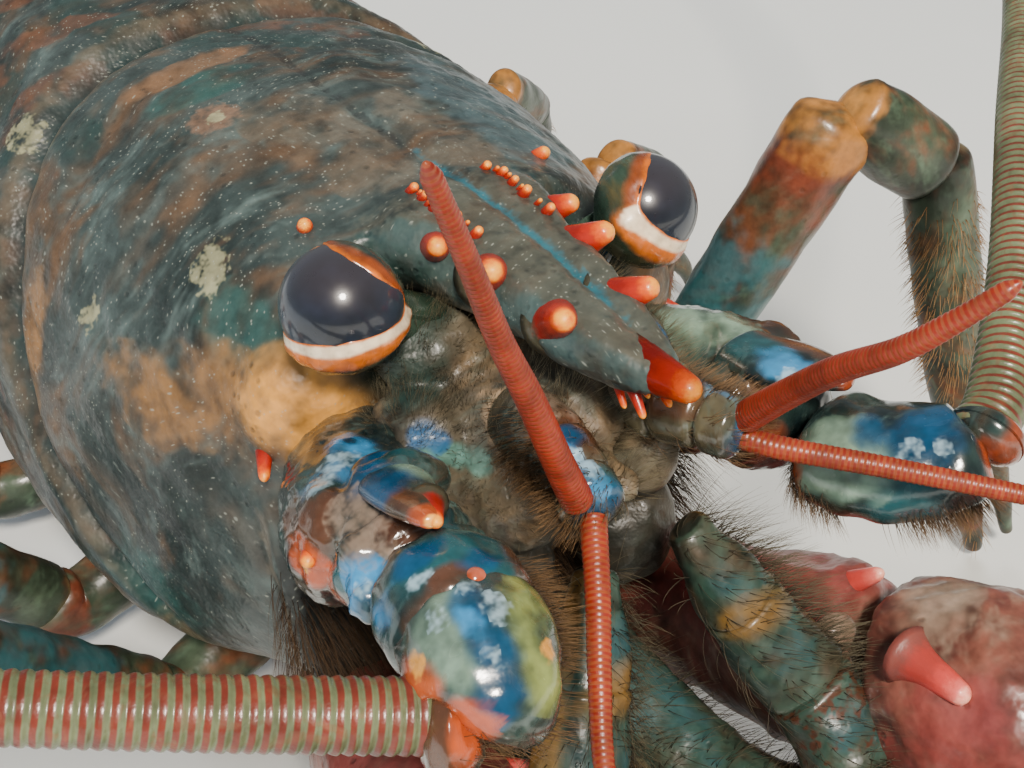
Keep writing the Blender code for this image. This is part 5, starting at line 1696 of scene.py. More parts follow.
        # Painted highlight: the white spot on top of the condyle.
        marked(condyle, white=[((-18.6, -28.2, -3.9), 0.5)], orange=[((-18.7, -28.0, -4.3), 1.0)])
        skin = Surface.joined([band, wrist, collar, condyle])
        self.body.piece("antenna_right_wrist", skin, shell, Slot.FEELER, ("antenna_right_wrist",))
        fringe = near(
            skin.points, (-14.4, -30.0, -9.0), (1.8, 5.0, 2.8)
        ) + 0.3 * near(skin.points, (-20.0, -35.0, -12.0), (5, 3, 3))
        self.emitters.append((skin, np.array((0.7, -0.3, -0.2)), {"kind": "base", "dense": fringe}))
        spines = [
            Spine((-20.4, -12.4, -11.6), (-23.7, -15.8, -10.4), 1.2, 0.4, 0.5),
            Spine((-17.4, -21.0, -4.4), (-19.0, -24.6, -2.6), 1.0, 0.4, 0.4),
        ]
        self.body.piece(
            "antenna_right_spines", Surface.joined([s.surface() for s in spines]), self.palette.spine(), Slot.FEELER
        )

    def left(self, shell: bpy.types.Material) -> None:
        """The left feeler's base, seen past the rostrum."""
        base = Limb((
            ((12.0, -3.0, -16.0), 5.4, 6.2), ((15.0, -8.0, -15.2), 5.8, 6.4), ((17.4, -13.0, -14.0), 5.6, 6.0),
            ((16.8, -18.0, -13.2), 5.2, 5.0), ((16.2, -21.6, -12.8), 4.7, 4.1),
        ), sides=64, collar=0.0).surface()
        lobe = ball((20.2, -14.6, -12.6), (3.0, 4.0, 4.2))
        skin = fused([base, lobe, ball((13.4, -17.4, -10.0), (3.0, 3.0, 2.4))], 0.36, 3)
        p = skin.points
        fold = np.exp(-(((p[:, 1] + 16.8 + 0.25 * (p[:, 2] + 10)) / 0.5) ** 2))
        skin = skin.pushed(-0.5 * fold + 0.16 * lumps(p, 1.6, 9) + 0.06 * lumps(p, 0.6, 10))
        marked(
            skin,
            cream=[((14.2, -9.2, -9.0), (2.6, 2.6, 2.4)), ((17.0, -12.0, -8.4), 2.0)],
            brown=[((12.6, -20.0, -12.0), (2.0, 3.0, 3.0)), ((21.8, -14.0, -12.0), (2.2, 3.6, 4.6))],
            orange=[((13.6, -22.6, -12.6), (1.6, 1.6, 2.6))],
            teal=[((17.0, -18.1, -8.2), (3.0, 2.4, 1.8))],
            dark=[((12.6, -16.0, -13.0), (1.6, 2.0, 2.4))],
        )
        self.body.piece("antenna_left_base", skin, shell, Slot.FEELER, ("antenna_left_base",))
        scale = Limb((
            ((15.6, -14.4, -8.6), 2.8, 1.2), ((16.2, -19.2, -7.6), 3.5, 1.0), ((17.2, -22.4, -7.0), 2.4, 0.9),
            ((17.8, -24.8, -6.8), 0.7, 0.5),
        ), sides=40).surface()
        marked(
            scale, sky=[((15.2, -20.4, -6.9), (1.4, 2.4, 1.2))], teal=[((16.8, -16.6, -7.4), (3.0, 3.4, 1.6))],
            brown=[((18.4, -20.2, -7.0), (1.1, 5.0, 1.6))], orange=[((17.9, -24.4, -6.8), 1.1)],
            # Painted highlight on the scale.
            white=[((14.4, -21.6, -6.8), 0.7)],
        )
        self.body.piece("antenna_left_scale", scale, shell, Slot.FEELER, ("antenna_left_scale",))
        wrist = Limb((
            ((16.4, -22.6, -12.6), 4.8, 3.8), ((17.4, -25.6, -12.4), 5.5, 4.05), ((18.9, -29.2, -11.8), 5.5, 4.1),
            ((21.4, -32.4, -10.2), 4.5, 3.75), ((23.0, -33.6, -9.2), 3.2, 3.1),
        ), sides=64, collar=0.05).surface()
        wrist.points = wrist.pushed(0.1 * lumps(wrist.points, 1.4, 13)).points
        collar = Limb(
            (((22.4, -33.2, -9.6), 3.3, 3.3), ((23.6, -33.0, -9.0), 3.2, 3.2), ((25.0, -32.4, -8.5), 2.75, 2.75)),
            sides=48
        ).surface()
        marked(
            wrist,
            cream=[((14.0, -28.6, -9.8), (2.4, 2.8, 2.6)), ((13.2, -26.0, -11.6), 1.8)],
            blue=[((18.4, -31.4, -7.4), (3.0, 2.6, 1.8)), ((16.2, -28.4, -7.8), 1.3)],
            teal=[((16.0, -32.4, -11.4), (3.2, 2.6, 2.6)), ((20.8, -34.6, -11.0), 2.0)],
            # Painted highlights on the wrist.
            white=[((16.6, -31.6, -8.2), (1.0, 0.5, 0.6)), ((18.8, -33.0, -8.0), 0.6)],
            orange=[((12.4, -24.0, -13.4), (1.4, 1.8, 2.8)), ((21.8, -35.4, -9.4), (1.0, 1.6, 2.6))],
            brown=[((12.0, -25.0, -12.0), 1.4)],
        )
        marked(collar, orange=[((23.4, -35.6, -9.4), (1.6, 2.4, 3.0))], brown=[((24.6, -34.4, -8.0), 1.6)])
        self.body.piece(
            "antenna_left_wrist", Surface.joined([wrist, collar]), shell, Slot.FEELER, ("antenna_left_wrist",)
        )
        fringe = near(
            wrist.points, (20.4, -34.6, -13.6), (5.0, 4.0, 3.0)
        ) + near(wrist.points, (14.0, -25.0, -14.6), (3.4, 3.4, 3.0))
        self.emitters.append((wrist, np.array((0.1, -0.6, -0.5)), {"kind": "base", "dense": fringe}))


@dataclass
class Antennules(Builder):
    """The small feelers, each with a jointed base and two ringed lashes."""

    def build(self) -> None:
        """Make both."""
        shell = self.palette.paint(replace(FEELER_SHELL, name="antennule_shell", base=0x56503C, dark=0x262620))
        lash = self.palette.paint(Finish(
            "lash", 0x5A1A10, 0x742A18, 0x863E22, 0x6C4A34, warm_share=0.4, pale_share=0.15, scale=400.0,
            roughness=0.45,
            coat=0.15, pits=0.1, pit_scale=2400.0, grain=0.4, relief=0.00004, bands=("rings", 0x78200F, 0x8A4022),
        ))
        bases = {
            "right": (
                ((-4.3, -12.0, -8.6), 2.9, 3.2), ((-4.7, -17.0, -7.6), 2.8, 3.0), ((-5.6, -21.6, -7.4), 2.4, 2.5),
                ((-6.7, -24.9, -7.4), 2.4, 2.3)
            ),
            "left": (
                ((4.3, -12.0, -8.6), 2.9, 3.2), ((4.7, -17.0, -7.6), 2.8, 3.0), ((5.6, -21.6, -6.8), 2.4, 2.5),
                ((6.6, -24.9, -6.4), 2.4, 2.3)
            ),
        }
        lashes = {
            "right": (
                (
                    (-7.6, -24.0, -6.6), (-9.6, -24.4, -2.4), (-12.6, -24.9, 4.4), (-15.3, -25.5, 9.9),
                    (-18.6, -27.0, 17.0), (-22.2, -28.8, 24.3)
                ),
                (
                    (-6.6, -24.6, -8.2), (-9.2, -28.6, -10.4), (-12.2, -32.9, -13.2), (-14.7, -36.8, -15.8),
                    (-17.2, -42.2, -17.6), (-19.2, -47.4, -18.4)
                ),
            ),
            "left": (
                (
                    (6.9, -24.6, -5.4), (6.2, -28.4, -0.8), (5.0, -33.0, 4.4), (4.2, -37.7, 8.9), (4.8, -40.6, 12.4),
                    (6.4, -42.7, 15.4)
                ),
                (
                    (6.6, -24.0, -7.2), (8.2, -26.9, -7.2), (13.0, -33.2, -7.0), (19.4, -41.5, -7.0),
                    (27.0, -50.8, -7.2), (35.4, -59.6, -8.4)
                ),
            ),
        }
        rings = RingedFeelers()
        for name, stations in bases.items():
            keys = catmull(np.array([(*p, w, h) for p, w, h in stations]), 6)
            parts = []
            for first, last in ((0, 8), (7, 13), (12, 18)):
                cut = tuple((tuple(k[:3]), k[3], k[4]) for k in keys[first : last + 1 : 2])
                parts.append(Limb(cut, sides=44, steps=6, collar=0.06, round_start=0.5, round_end=0.4).surface())
            skin = Surface.joined(parts)
            side = SIDES[name]
            marked(
                skin,
                blue=[((side * 7.0, -25.6, -7.0), 1.9), ((side * 5.4, -20.0, -5.4), 1.0)],
                sky=[((side * 6.4, -23.0, -5.6), (0.7, 2.6, 1.0))],
                # Painted highlight on each small feeler's base.
                white=[((side * 6.1, -22.4, -5.2), (0.5, 1.6, 0.6))],
                brown=[((side * 4.4, -18.6, -5.2), (2.4, 2.6, 2.0))],
                teal=[((side * 6.0, -24.2, -6.2), 1.2)],
                pink=[((side * 3.4, -15.6, -5.6), 2.0)],
            )
            self.body.piece(f"antennule_{name}_base", skin, shell, Slot.FEELER, (f"antennule_{name}_base",))
            outer = smooth(
                0.0, 2.0, side * (skin.points[:, 0] - side * 5.4)
            ) * smooth(-14.0, -18.0, skin.points[:, 1])
            self.emitters.append((skin, np.array((0.8 * side, -0.4, 0.2)), {"kind": "feeler", "dense": outer + 0.1}))
            for part, points, radii in zip(("outer", "inner"), lashes[name], ((1.15, 0.55), (0.95, 0.5))):
                mesh = rings.sweep(Lash(points, radii, 0.42, 0.07), self.body, lash, 18)
                self.body.adopt(f"antennule_{name}_{part}", mesh, lash, Slot.LASH, (f"antennule_{name}_{part}",))


MAXILLIPED: tuple[Station, ...] = (
    ((5.2, 2.0, -37.0), 3.8, 4.0), ((5.6, -12.0, -40.5), 4.2, 4.6), ((7.4, -26.0, -43.0), 4.2, 4.4),
    ((9.8, -35.4, -41.4), 3.6, 3.8), ((11.4, -38.4, -37.6), 3.3, 3.6), ((12.2, -35.6, -33.8), 3.6, 3.6),
    ((11.6, -31.6, -30.0), 3.8, 3.4), ((9.0, -28.0, -25.4), 3.5, 3.0), ((6.2, -25.0, -19.8), 2.8, 2.4),
    ((4.2, -22.6, -15.6), 1.4, 1.2),
)


def articles(stations: tuple[Station, ...], cuts: tuple[tuple[int, int], ...], **how) -> list[Surface]:
    """Cut a limb into its articles.

    Args:
        stations: The whole limb.
        cuts: First and last step of each article, five steps to each stretch between stations.
        **how: Settings for each article's `Limb`.

    Returns:
        One closed surface for each.
    """
    keys = catmull(np.array([(*p, w, h) for p, w, h in stations]), 5)
    parts = []
    for first, last in cuts:
        picked = np.unique(np.linspace(first, last, max(3, (last - first) // 2 + 1)).astype(int))
        cut = tuple((tuple(keys[k, :3]), keys[k, 3], keys[k, 4]) for k in picked)
        parts.append(Limb(cut, **how).surface())
    return parts


@dataclass
class MouthLimbs(Builder):
    """The bristly limbs that close over the jaws."""

    def build(self) -> None:
        """Make both."""
        finish = Finish(
            "mouth_limb", 0x1C1F1A, 0x363C30, 0x52402C, 0x4C5A4C, warm_share=0.5, pale_share=0.3, scale=170.0,
            roughness=0.4, coat=0.3, pits=0.3, pit_scale=900.0, grain=0.35, relief=0.00014,
            marks=(
                Mark("teal", 0x26483F, 1.6, 260, 0.6, 0.55, 0.6), Mark("orange", 0x70501E, 1.3, 260, 0.5, 0.75, 0.7),
                Mark("blue", 0x1A4450, 1.2, 260, 0.7, 0.5, 0.5), Mark("red", 0x44200F, 1.8, 800, 0.62, 0.85, 0.3),
                Mark("seam", 0x141612, 0.5, 800, 0.5, 0.85),
            ),
        )
        skin = self.palette.paint(finish)
        for name, side in SIDES.items():
            parts = articles(
                mirrored(MAXILLIPED, side), ((0, 16), (15, 24), (23, 31), (30, 38), (37, 45)),
                sides=48, steps=6, up=(0, 1, -0.3), collar=0.07, round_start=0.5, round_end=0.35, power=2.3,
            )
            for k, part in enumerate(parts):
                around, along = part.masks["around"], part.masks["along"]
                part.points = part.pushed(0.12 * lumps(part.points, 1.5, 20 + k)).points
                low = smooth(0.62, 0.35, abs(part.masks["top"] - 0.5) * 2) * (np.cos(around * math.tau) * side < 0)
                part.masks = {
                    "orange": np.maximum(
                        0.8 * low * smooth(0.05, 0.3, along),
                        near(part.points, (side * 5.8, -28.6, -21.8), (3.6, 1.8, 1.7), 1.0)
                    ),
                    "teal": smooth(0.6, 0.3, part.masks["top"]),
                    "blue": 0.7 * np.exp(-(((along - 0.5) / 0.3) ** 2)) * smooth(0.2, 0.05, part.masks["top"]),
                    "red": 0.5 * smooth(0.2, 0.5, along) * (k in (1, 2)),
                    "seam": smooth(0.05, 0.0, along) + smooth(0.96, 1.0, along),
                    "along": along, "around": around,
                }
                self.emitters.append((part, np.array((side * 0.5, -0.5, 0.1)), {"kind": "mouth"}))
            self.body.piece(f"maxilliped_{name}", Surface.joined(parts), skin, Slot.LEG, (f"maxilliped_{name}",))


# Along the palm: share of the length, outer edge, inner edge and half thickness.
PALM = ((0.0, 8.0, -7.0, 6.5), (0.06, 13.0, -12.0, 8.8), (0.16, 20.0, -18.0, 11.2), (0.28, 24.0, -21.0, 12.4),
        (0.40, 25.4, -21.5, 12.2), (0.445, 25.4, -7.0, 11.2), (0.55, 24.0, -1.5, 9.6), (0.68, 20.5, 2.0, 8.0),
        (0.80, 15.6, 2.6, 6.4), (0.91, 9.0, 1.2, 4.4), (0.975, 4.0, -1.0, 2.4), (1.0, 0.6, -1.6, 0.8))
FINGER = ((0.435, -6.6, -20.6, 8.6), (0.50, -7.2, -23.0, 9.0), (0.60, -7.6, -22.6, 8.2), (0.72, -6.4, -19.4, 6.8),
          (0.84, -3.6, -13.6, 5.0), (0.94, -1.6, -7.8, 3.0), (0.99, -2.2, -4.8, 1.2))


@dataclass(frozen=True)
class ClawForm:
    """One great claw: its breadth, thickness, teeth and where it runs."""

    broad: float
    teeth: int
    tooth: float
    wrist: Point
    tip: Point


PINK_TONES = (0x7A4038, 0xA03830, 0xC8443C, 0xE0685C, 0xF4A890)
CLAWS = {
    "right": ClawForm(1.06, 5, 2.6, (-26.5, -51.0, -36.4), (-38.0, -155.0, -55.6)),
    "left": ClawForm(0.86, 9, 1.5, (26.5, -51.0, -34.0), (34.0, -154.0, -57.6)),
}


@dataclass
class Claws(Builder):
    """The great claws, from the arm to the two fingers."""

    def build(self) -> None:
        """Make both."""
        shell = Finish(
            "claw", 0x2A201A, 0x4E3626, 0x7C4426, 0x66604A, warm_share=0.55, pale_share=0.2, streak=0.8, scale=80.0,
            roughness=0.4, coat=0.3, pits=0.4, pit_scale=520.0, grain=0.3, relief=0.0002,
            marks=(
                Mark("teal", 0x24403A, 1.3, 260, 0.6, 0.7, 0.5), Mark("edge", 0x74301A, 1.3, 260, 0.55, 0.8, 0.5),
                Mark("belly", 0x9A6838, 1.2, 260, 0.5, 0.8, 0.5), Mark("ivory", 0xA88A5C, 1.0, 260, 0.5, 0.85, 0.6),
            ),
        )
        arm = replace(
            shell, name="claw_arm", dark=0x40241E, base=0x6C3E36, warm=0x845040, pale=0x86705E, pale_share=0.25,
            scale=150.0, pit_scale=700.0,
            marks=(
                Mark("teal", 0x3C5450, 1.2, 260, 0.6, 0.6, 0.5), Mark("edge", 0x7A3430, 1.3, 260, 0.5, 0.75, 0.6),
                # The ivory mark is partly painted highlight: the soft pale patch on top of the wrist; on the arm's end
                # and its condyle it is their own pale colour.
                Mark("belly", 0x7C4E34, 1.2, 260, 0.5, 0.8, 0.5), Mark("ivory", 0x94806C, 1.0, 260, 0.5, 0.75, 0.9),
            ),
        )
        skins = self.palette.paint(shell), self.palette.paint(arm)
        teeth = self.palette.paint(Finish(
            "tooth", 0x8A6A4C, 0xB4966E, 0xA67C58, 0xC8B898, scale=200.0, roughness=0.35, coat=0.3, pits=0.1,
            grain=0.2,
        ))
        for name, side in SIDES.items():
            self.arm(name, side, skins[1])
            self.hand(name, side, CLAWS[name], skins[0], teeth)

    def arm(self, name: str, side: float, skin: bpy.types.Material) -> None:
        """The arm and the wrist with their spines."""
        arm = Limb(mirrored((
            ((9.0, 4.0, -39.5), 5.0, 5.0), ((13.5, -4.0, -40.5), 5.6, 6.0), ((16.8, -16.0, -38.0), 6.2, 7.4),
            ((18.6, -27.0, -34.4), 7.4, 8.6), ((19.2, -32.0, -32.6), 6.6, 7.6),
        ), side), sides=72, collar=0.05, round_end=0.25).surface()
        condyle = ball((side * 15.4, -29.8, -27.6), (2.0, 1.5, 1.8))
        arm.points = arm.pushed(0.3 * lumps(arm.points, 3.0, 31) + 0.1 * lumps(arm.points, 1.0, 32)).points
        arm.masks = {
            "edge": smooth(0.6, 0.9, arm.masks["top"]), "belly": smooth(0.35, 0.1, arm.masks["top"]),
            "ivory": smooth(0.975, 1.0, arm.masks["along"]),
        }
        condyle.masks = {"ivory": np.ones(len(condyle.points))}
        spines = [
            Spine((side * 19.0, -25.0, -29.0), (side * 20.4, -29.6, -23.6), 1.5, 0.35, 0.5),
            Spine((side * 14.4, -22.0, -32.0), (side * 11.6, -26.2, -28.8), 1.4, 0.35, 0.5),
        ]
        self.body.piece(f"claw_{name}_arm", Surface.joined([arm, condyle]), skin, Slot.CLAW, (f"claw_{name}_arm",))
        wrist = Limb(mirrored((
            ((20.0, -32.6, -32.2), 6.4, 7.4), ((21.0, -36.0, -31.0), 8.4, 8.8), ((22.6, -42.0, -30.2), 9.5, 9.6),
            ((24.8, -48.0, -32.2), 8.2, 8.4), ((26.4, -51.4, -34.6), 6.4, 6.6),
        ), side), sides=72, collar=0.03, round_start=0.3).surface()
        knobs = [
            ball((side * 17.6, -39.0, -26.6), (4.0, 4.4, 4.0)), ball((side * 21.0, -39.6, -24.6), (4.0, 4.4, 3.2))
        ]
        wrist = fused([wrist, *knobs], 0.6, 5)
        wrist = wrist.pushed(0.25 * lumps(wrist.points, 3.0, 33) + 0.1 * lumps(wrist.points, 0.9, 34))
        marked(
            # Painted highlight: the pale ivory patch on top of the wrist.
            wrist, ivory=[((side * 20.3, -35.4, -22.8), (3.0, 2.6, 1.8))],
            edge=[((side * 14.0, -44.0, -28.0), (4, 5, 6))],
            belly=[((side * 22.0, -42.0, -40.0), (9, 12, 5))],
        )
        self.body.piece(f"claw_{name}_wrist", wrist, skin, Slot.CLAW, (f"claw_{name}_wrist",))
        spines += [
            Spine((side * 15.9, -36.4, -24.6), (side * 15.2, -42.4, -23.2), 1.7, 0.45, 0.5, 0.03),
            Spine((side * 22.8, -44.0, -23.4), (side * 23.6, -48.6, -19.6), 1.7, 0.35, 0.5, 0.03),
            Spine((side * 26.2, -42.0, -24.6), (side * 29.4, -45.6, -20.4), 1.5, 0.35, 0.5, 0.03),
        ]
        self.body.piece(
            f"claw_{name}_spines", Surface.joined([s.surface() for s in spines]),
            self.palette.spine("pink_spine", PINK_TONES),
            Slot.CLAW,
        )

    def hand(
        self, name: str, side: float, form: ClawForm, skin: bpy.types.Material, ivory: bpy.types.Material
    ) -> None:
        """The palm with its fixed finger, the moving finger, and their teeth."""
        start, end = np.array(form.wrist), np.array(form.tip)
        run = end - start
        way = run / np.linalg.norm(run)
        out = np.array((side, 0.0, 0.0)) - way * way[0] * side
        out /= np.linalg.norm(out)
        up = np.cross(out, way) * side
        up *= np.sign(up[2])
        surfaces = {}
        for part, rows, sides in (("palm", PALM, 120), ("finger", FINGER, 88)):
            line = catmull(np.array(rows, float), 9)
            angles = math.tau * np.arange(sides) / sides
            reach = (abs(np.cos(angles)) ** 2.3 + abs(np.sin(angles)) ** 2.3) ** (-1 / 2.3)
            grid = [
                start + run * s + out * (((o + i) / 2 + (o - i) / 2 * (np.cos(angles) * reach)[:, None]) * form.broad)
                + up * ((h * form.broad) * (np.sin(angles) * reach)[:, None])
                for s, o, i, h in line
            ]
            knobs = []
            if part == "palm":
                for k in range(5):
                    share = 0.09 + 0.075 * k
                    edge = float(Profile(tuple((r[0], r[2]) for r in PALM))(share)) * form.broad
                    root = start + run * share + out * (edge + 4.0)
                    tip = start + run * (share + 0.035) + out * (edge - 3.2) + np.array((0, 0, 3.5))
                    knobs.append(Spine(tuple(root), tuple(tip), 2.0, 0.45, 0.6).surface())
            hand = fused([Surface.grid(np.array(grid)), *knobs], 0.8, 3)
            hand = hand.pushed(0.35 * lumps(hand.points, 5.0, 35) + 0.14 * lumps(hand.points, 1.6, 36))
            share = (hand.points - start) @ way / np.linalg.norm(run)
            across = (hand.points - start) @ out
            high = (hand.points - start - np.outer((hand.points - start) @ way, way)) @ up
            hand.masks = {
                "belly": smooth(-1.0, -6.0, high), "ivory": smooth(0.93, 0.985, share),
                "edge": smooth(0.62, 1.05, abs(across) / 22.0), "teal": 0.75 * smooth(1.0, 8.0, high),
            }
            surfaces[part] = hand
            self.body.piece(f"claw_{name}_{part}", hand, skin, Slot.CLAW, (f"claw_{name}_{part}",))
        parts = []
        for rows, column, turn in ((PALM, 2, -1.0), (FINGER, 1, 1.0)):
            edge_line = Profile(tuple((r[0], r[column]) for r in rows))
            for k in range(form.teeth):
                share = 0.53 + 0.36 * k / (form.teeth - 1)
                size = form.tooth * (1.15 - 0.5 * abs(k / (form.teeth - 1) - 0.35))
                edge = float(edge_line(share)) * form.broad
                root = start + run * share + out * (edge - turn * 2.4)
                tip = start + run * share + out * (edge + turn * size * 0.6)
                parts.append(Spine(tuple(root), tuple(tip), size * 1.15, 0.5, 0.3).surface())
        self.body.piece(f"claw_{name}_teeth", Surface.joined(parts), ivory, Slot.CLAW)


# The walking legs of each side: root, knee, ankle, foot and half thickness at the knee.
LEGS = {
    "right": (
        ((-12.0, 17.0, -47.5), (-49.0, 6.0, -22.0), (-61.0, -2.0, -31.0), (-66.0, -20.0), 3.6),
        ((-13.5, 33.0, -48.0), (-54.0, 28.0, -22.0), (-67.0, 24.0, -32.0), (-74.0, 15.0), 3.4),
        ((-14.0, 49.0, -48.0), (-54.0, 60.0, -22.0), (-66.0, 66.0, -32.0), (-73.0, 72.0), 3.1),
        ((-13.0, 64.0, -47.0), (-45.0, 88.0, -24.0), (-56.0, 100.0, -33.0), (-62.0, 112.0), 2.9),
    ),
    "left": (
        ((12.0, 17.0, -47.5), (46.0, 3.6, -2.4), (56.0, -1.0, -10.0), (64.0, -12.0), 4.1),
        ((13.5, 33.0, -48.0), (50.0, 42.0, -26.0), (62.0, 46.0, -34.0), (69.0, 50.0), 3.4),
        ((14.0, 49.0, -48.0), (50.0, 66.0, -25.0), (61.0, 73.0, -34.0), (68.0, 80.0), 3.1),
        ((13.0, 64.0, -47.0), (44.0, 88.0, -24.0), (55.0, 100.0, -33.0), (61.0, 112.0), 2.9),
    ),
}


@dataclass
class Legs(Builder):
    """The eight walking legs, each in its articles."""

    def build(self) -> None:
        """Make them all."""
        finish = Finish(
            "leg", 0x20281F, 0x3C4838, 0x6C3E24, 0x526652, warm_share=0.45, pale_share=0.3, scale=130.0,
            roughness=0.42, coat=0.25, pits=0.25, pit_scale=800.0, grain=0.3, relief=0.00014,
            marks=(
                Mark("teal", 0x1F4E54, 1.3, 260, 0.55, 0.8, 0.5), Mark("red", 0x6C2C1A, 1.3, 260, 0.6, 0.65, 0.5),
                Mark("cream", 0x8C7850, 0.9, 260, 0.5, 0.75, 0.5), Mark("orange", 0xA46C2C, 1.4, 260, 0.55, 0.8, 0.6),
            ),
        )
        skin = self.palette.paint(finish)
        for name, side in SIDES.items():
            for number in range(4):
                self.leg(name, side, number, skin)

    def leg(self, name: str, side: float, number: int, skin: bpy.types.Material) -> None:
        """One leg: thigh in two articles, then wrist, shank and foot, the front two pairs with a pincer."""
        root, knee, ankle, foot, t = LEGS[name][number]
        root, knee, ankle = (np.array(p) for p in (root, knee, ankle))
        hip = root + (knee - root) * 0.36
        hip[2] = root[2] - 2.5
        ground = np.array((*foot, FLOOR))

        def at(a: np.ndarray, b: np.ndarray, share: float, wide: float, high: float) -> Station:
            return tuple(a + (b - a) * share), wide * t, high * t

        parts = [
            Limb((at(root, hip, 0, 1.05, 1.1), at(root, hip, 0.5, 1.0, 1.1), at(root, hip, 1, 1.0, 1.05),
                  at(hip, knee, 0.12, 0.94, 1.02)), sides=40, collar=0.06).surface(),
            Limb((at(hip, knee, 0.06, 0.86, 0.96), at(hip, knee, 0.3, 0.9, 1.06), at(hip, knee, 0.62, 0.86, 1.08),
                  at(hip, knee, 0.92, 0.92, 1.12), at(hip, knee, 1.0, 0.8, 0.95)), sides=40, collar=0.05).surface(),
        ]
        for part in parts:
            part.points = part.pushed(0.12 * lumps(part.points, 2.0, 41 + number)).points
            along = part.masks["along"]
            part.masks |= {
                "cream": smooth(0.06, 0.0, along), "red": smooth(0.7, 0.86, along) * smooth(0.97, 0.9, along)
            }
        parts[1].masks["orange"] = smooth(0.86, 0.94, parts[1].masks["along"])
        parts[1].masks["teal"] = smooth(0.2, 0.4, parts[1].masks["along"]) * smooth(0.8, 0.6, parts[1].masks["along"])
        self.body.piece(
            f"leg_{name}_{number + 1}_upper", Surface.joined(parts), skin, Slot.LEG,
            (f"leg_{name}_{number + 1}_upper",)
        )
        shank = ankle + (ground - ankle) * 0.58
        parts = [
            Limb((at(
                knee, ankle, -0.02, 0.72, 0.85
            ), at(knee, ankle, 0.3, 0.88, 1.02), at(knee, ankle, 0.75, 0.92, 1.05),
                  at(knee, ankle, 1.0, 0.78, 0.88)), sides=40, collar=0.06).surface(),
            Limb((at(
                ankle, ground, -0.06, 0.7, 0.78
            ), at(ankle, ground, 0.12, 0.8, 0.9), at(ankle, ground, 0.35, 0.74, 0.84),
                  at(ankle, ground, 0.58, 0.62, 0.72)), sides=40, collar=0.05).surface(),
            Limb((at(
                shank, ground, -0.05, 0.56, 0.66
            ), at(shank, ground, 0.2, 0.54, 0.62), at(shank, ground, 0.6, 0.4, 0.44),
                  (
                      tuple(ground + (0, 0, 0.9)), 1.1, 1.1
                  )), up=(0.2, 1.0, 0.1), sides=32, collar=0.03, ends=(None, (0, 0, -1))).surface(),
        ]
        if number < 2:
            outward = np.array((side * 3.4, -1.6, 3.0))
            parts.append(Limb((
                (tuple(shank + outward * 0.2), t * 0.46, t * 0.5),
                (tuple(shank * 0.5 + ground * 0.5 + outward * 0.75), t * 0.36, t * 0.4),
                (tuple(ground + outward), t * 0.16, t * 0.16),
            ), sides=28).surface())
        for k, part in enumerate(parts):
            part.points = part.pushed(0.1 * lumps(part.points, 2.0, 45 + k)).points
            along = part.masks["along"]
            part.masks |= {"cream": smooth(0.05, 0.0, along)}
        parts[0].masks["orange"] = smooth(0.2, 0.06, parts[0].masks["along"])
        parts[2].masks["red"] = smooth(0.1, 0.4, parts[2].masks["along"]) * smooth(0.9, 0.7, parts[2].masks["along"])
        self.body.piece(
            f"leg_{name}_{number + 1}_lower", Surface.joined(parts), skin, Slot.LEG,
            (f"leg_{name}_{number + 1}_lower",)
        )
        for k in (2, 1):
            self.emitters.append((parts[k], np.array((0, 0, -0.8)), {"kind": "foot"}))


# The tail: half width, height above and below its middle line, pitch in degrees, by segment.
TAIL = ((20.4, 16.0, 13.0, 5.0), (20.6, 15.6, 13.4, 9.0), (20.0, 15.0, 13.0, 14.0), (19.0, 14.4, 12.4, 18.0),
        (17.8, 13.6, 11.6, 21.0), (16.4, 12.4, 9.6, 23.0))
TAIL_START = (92.1, -17.5)
TAIL_STEP = 14.5


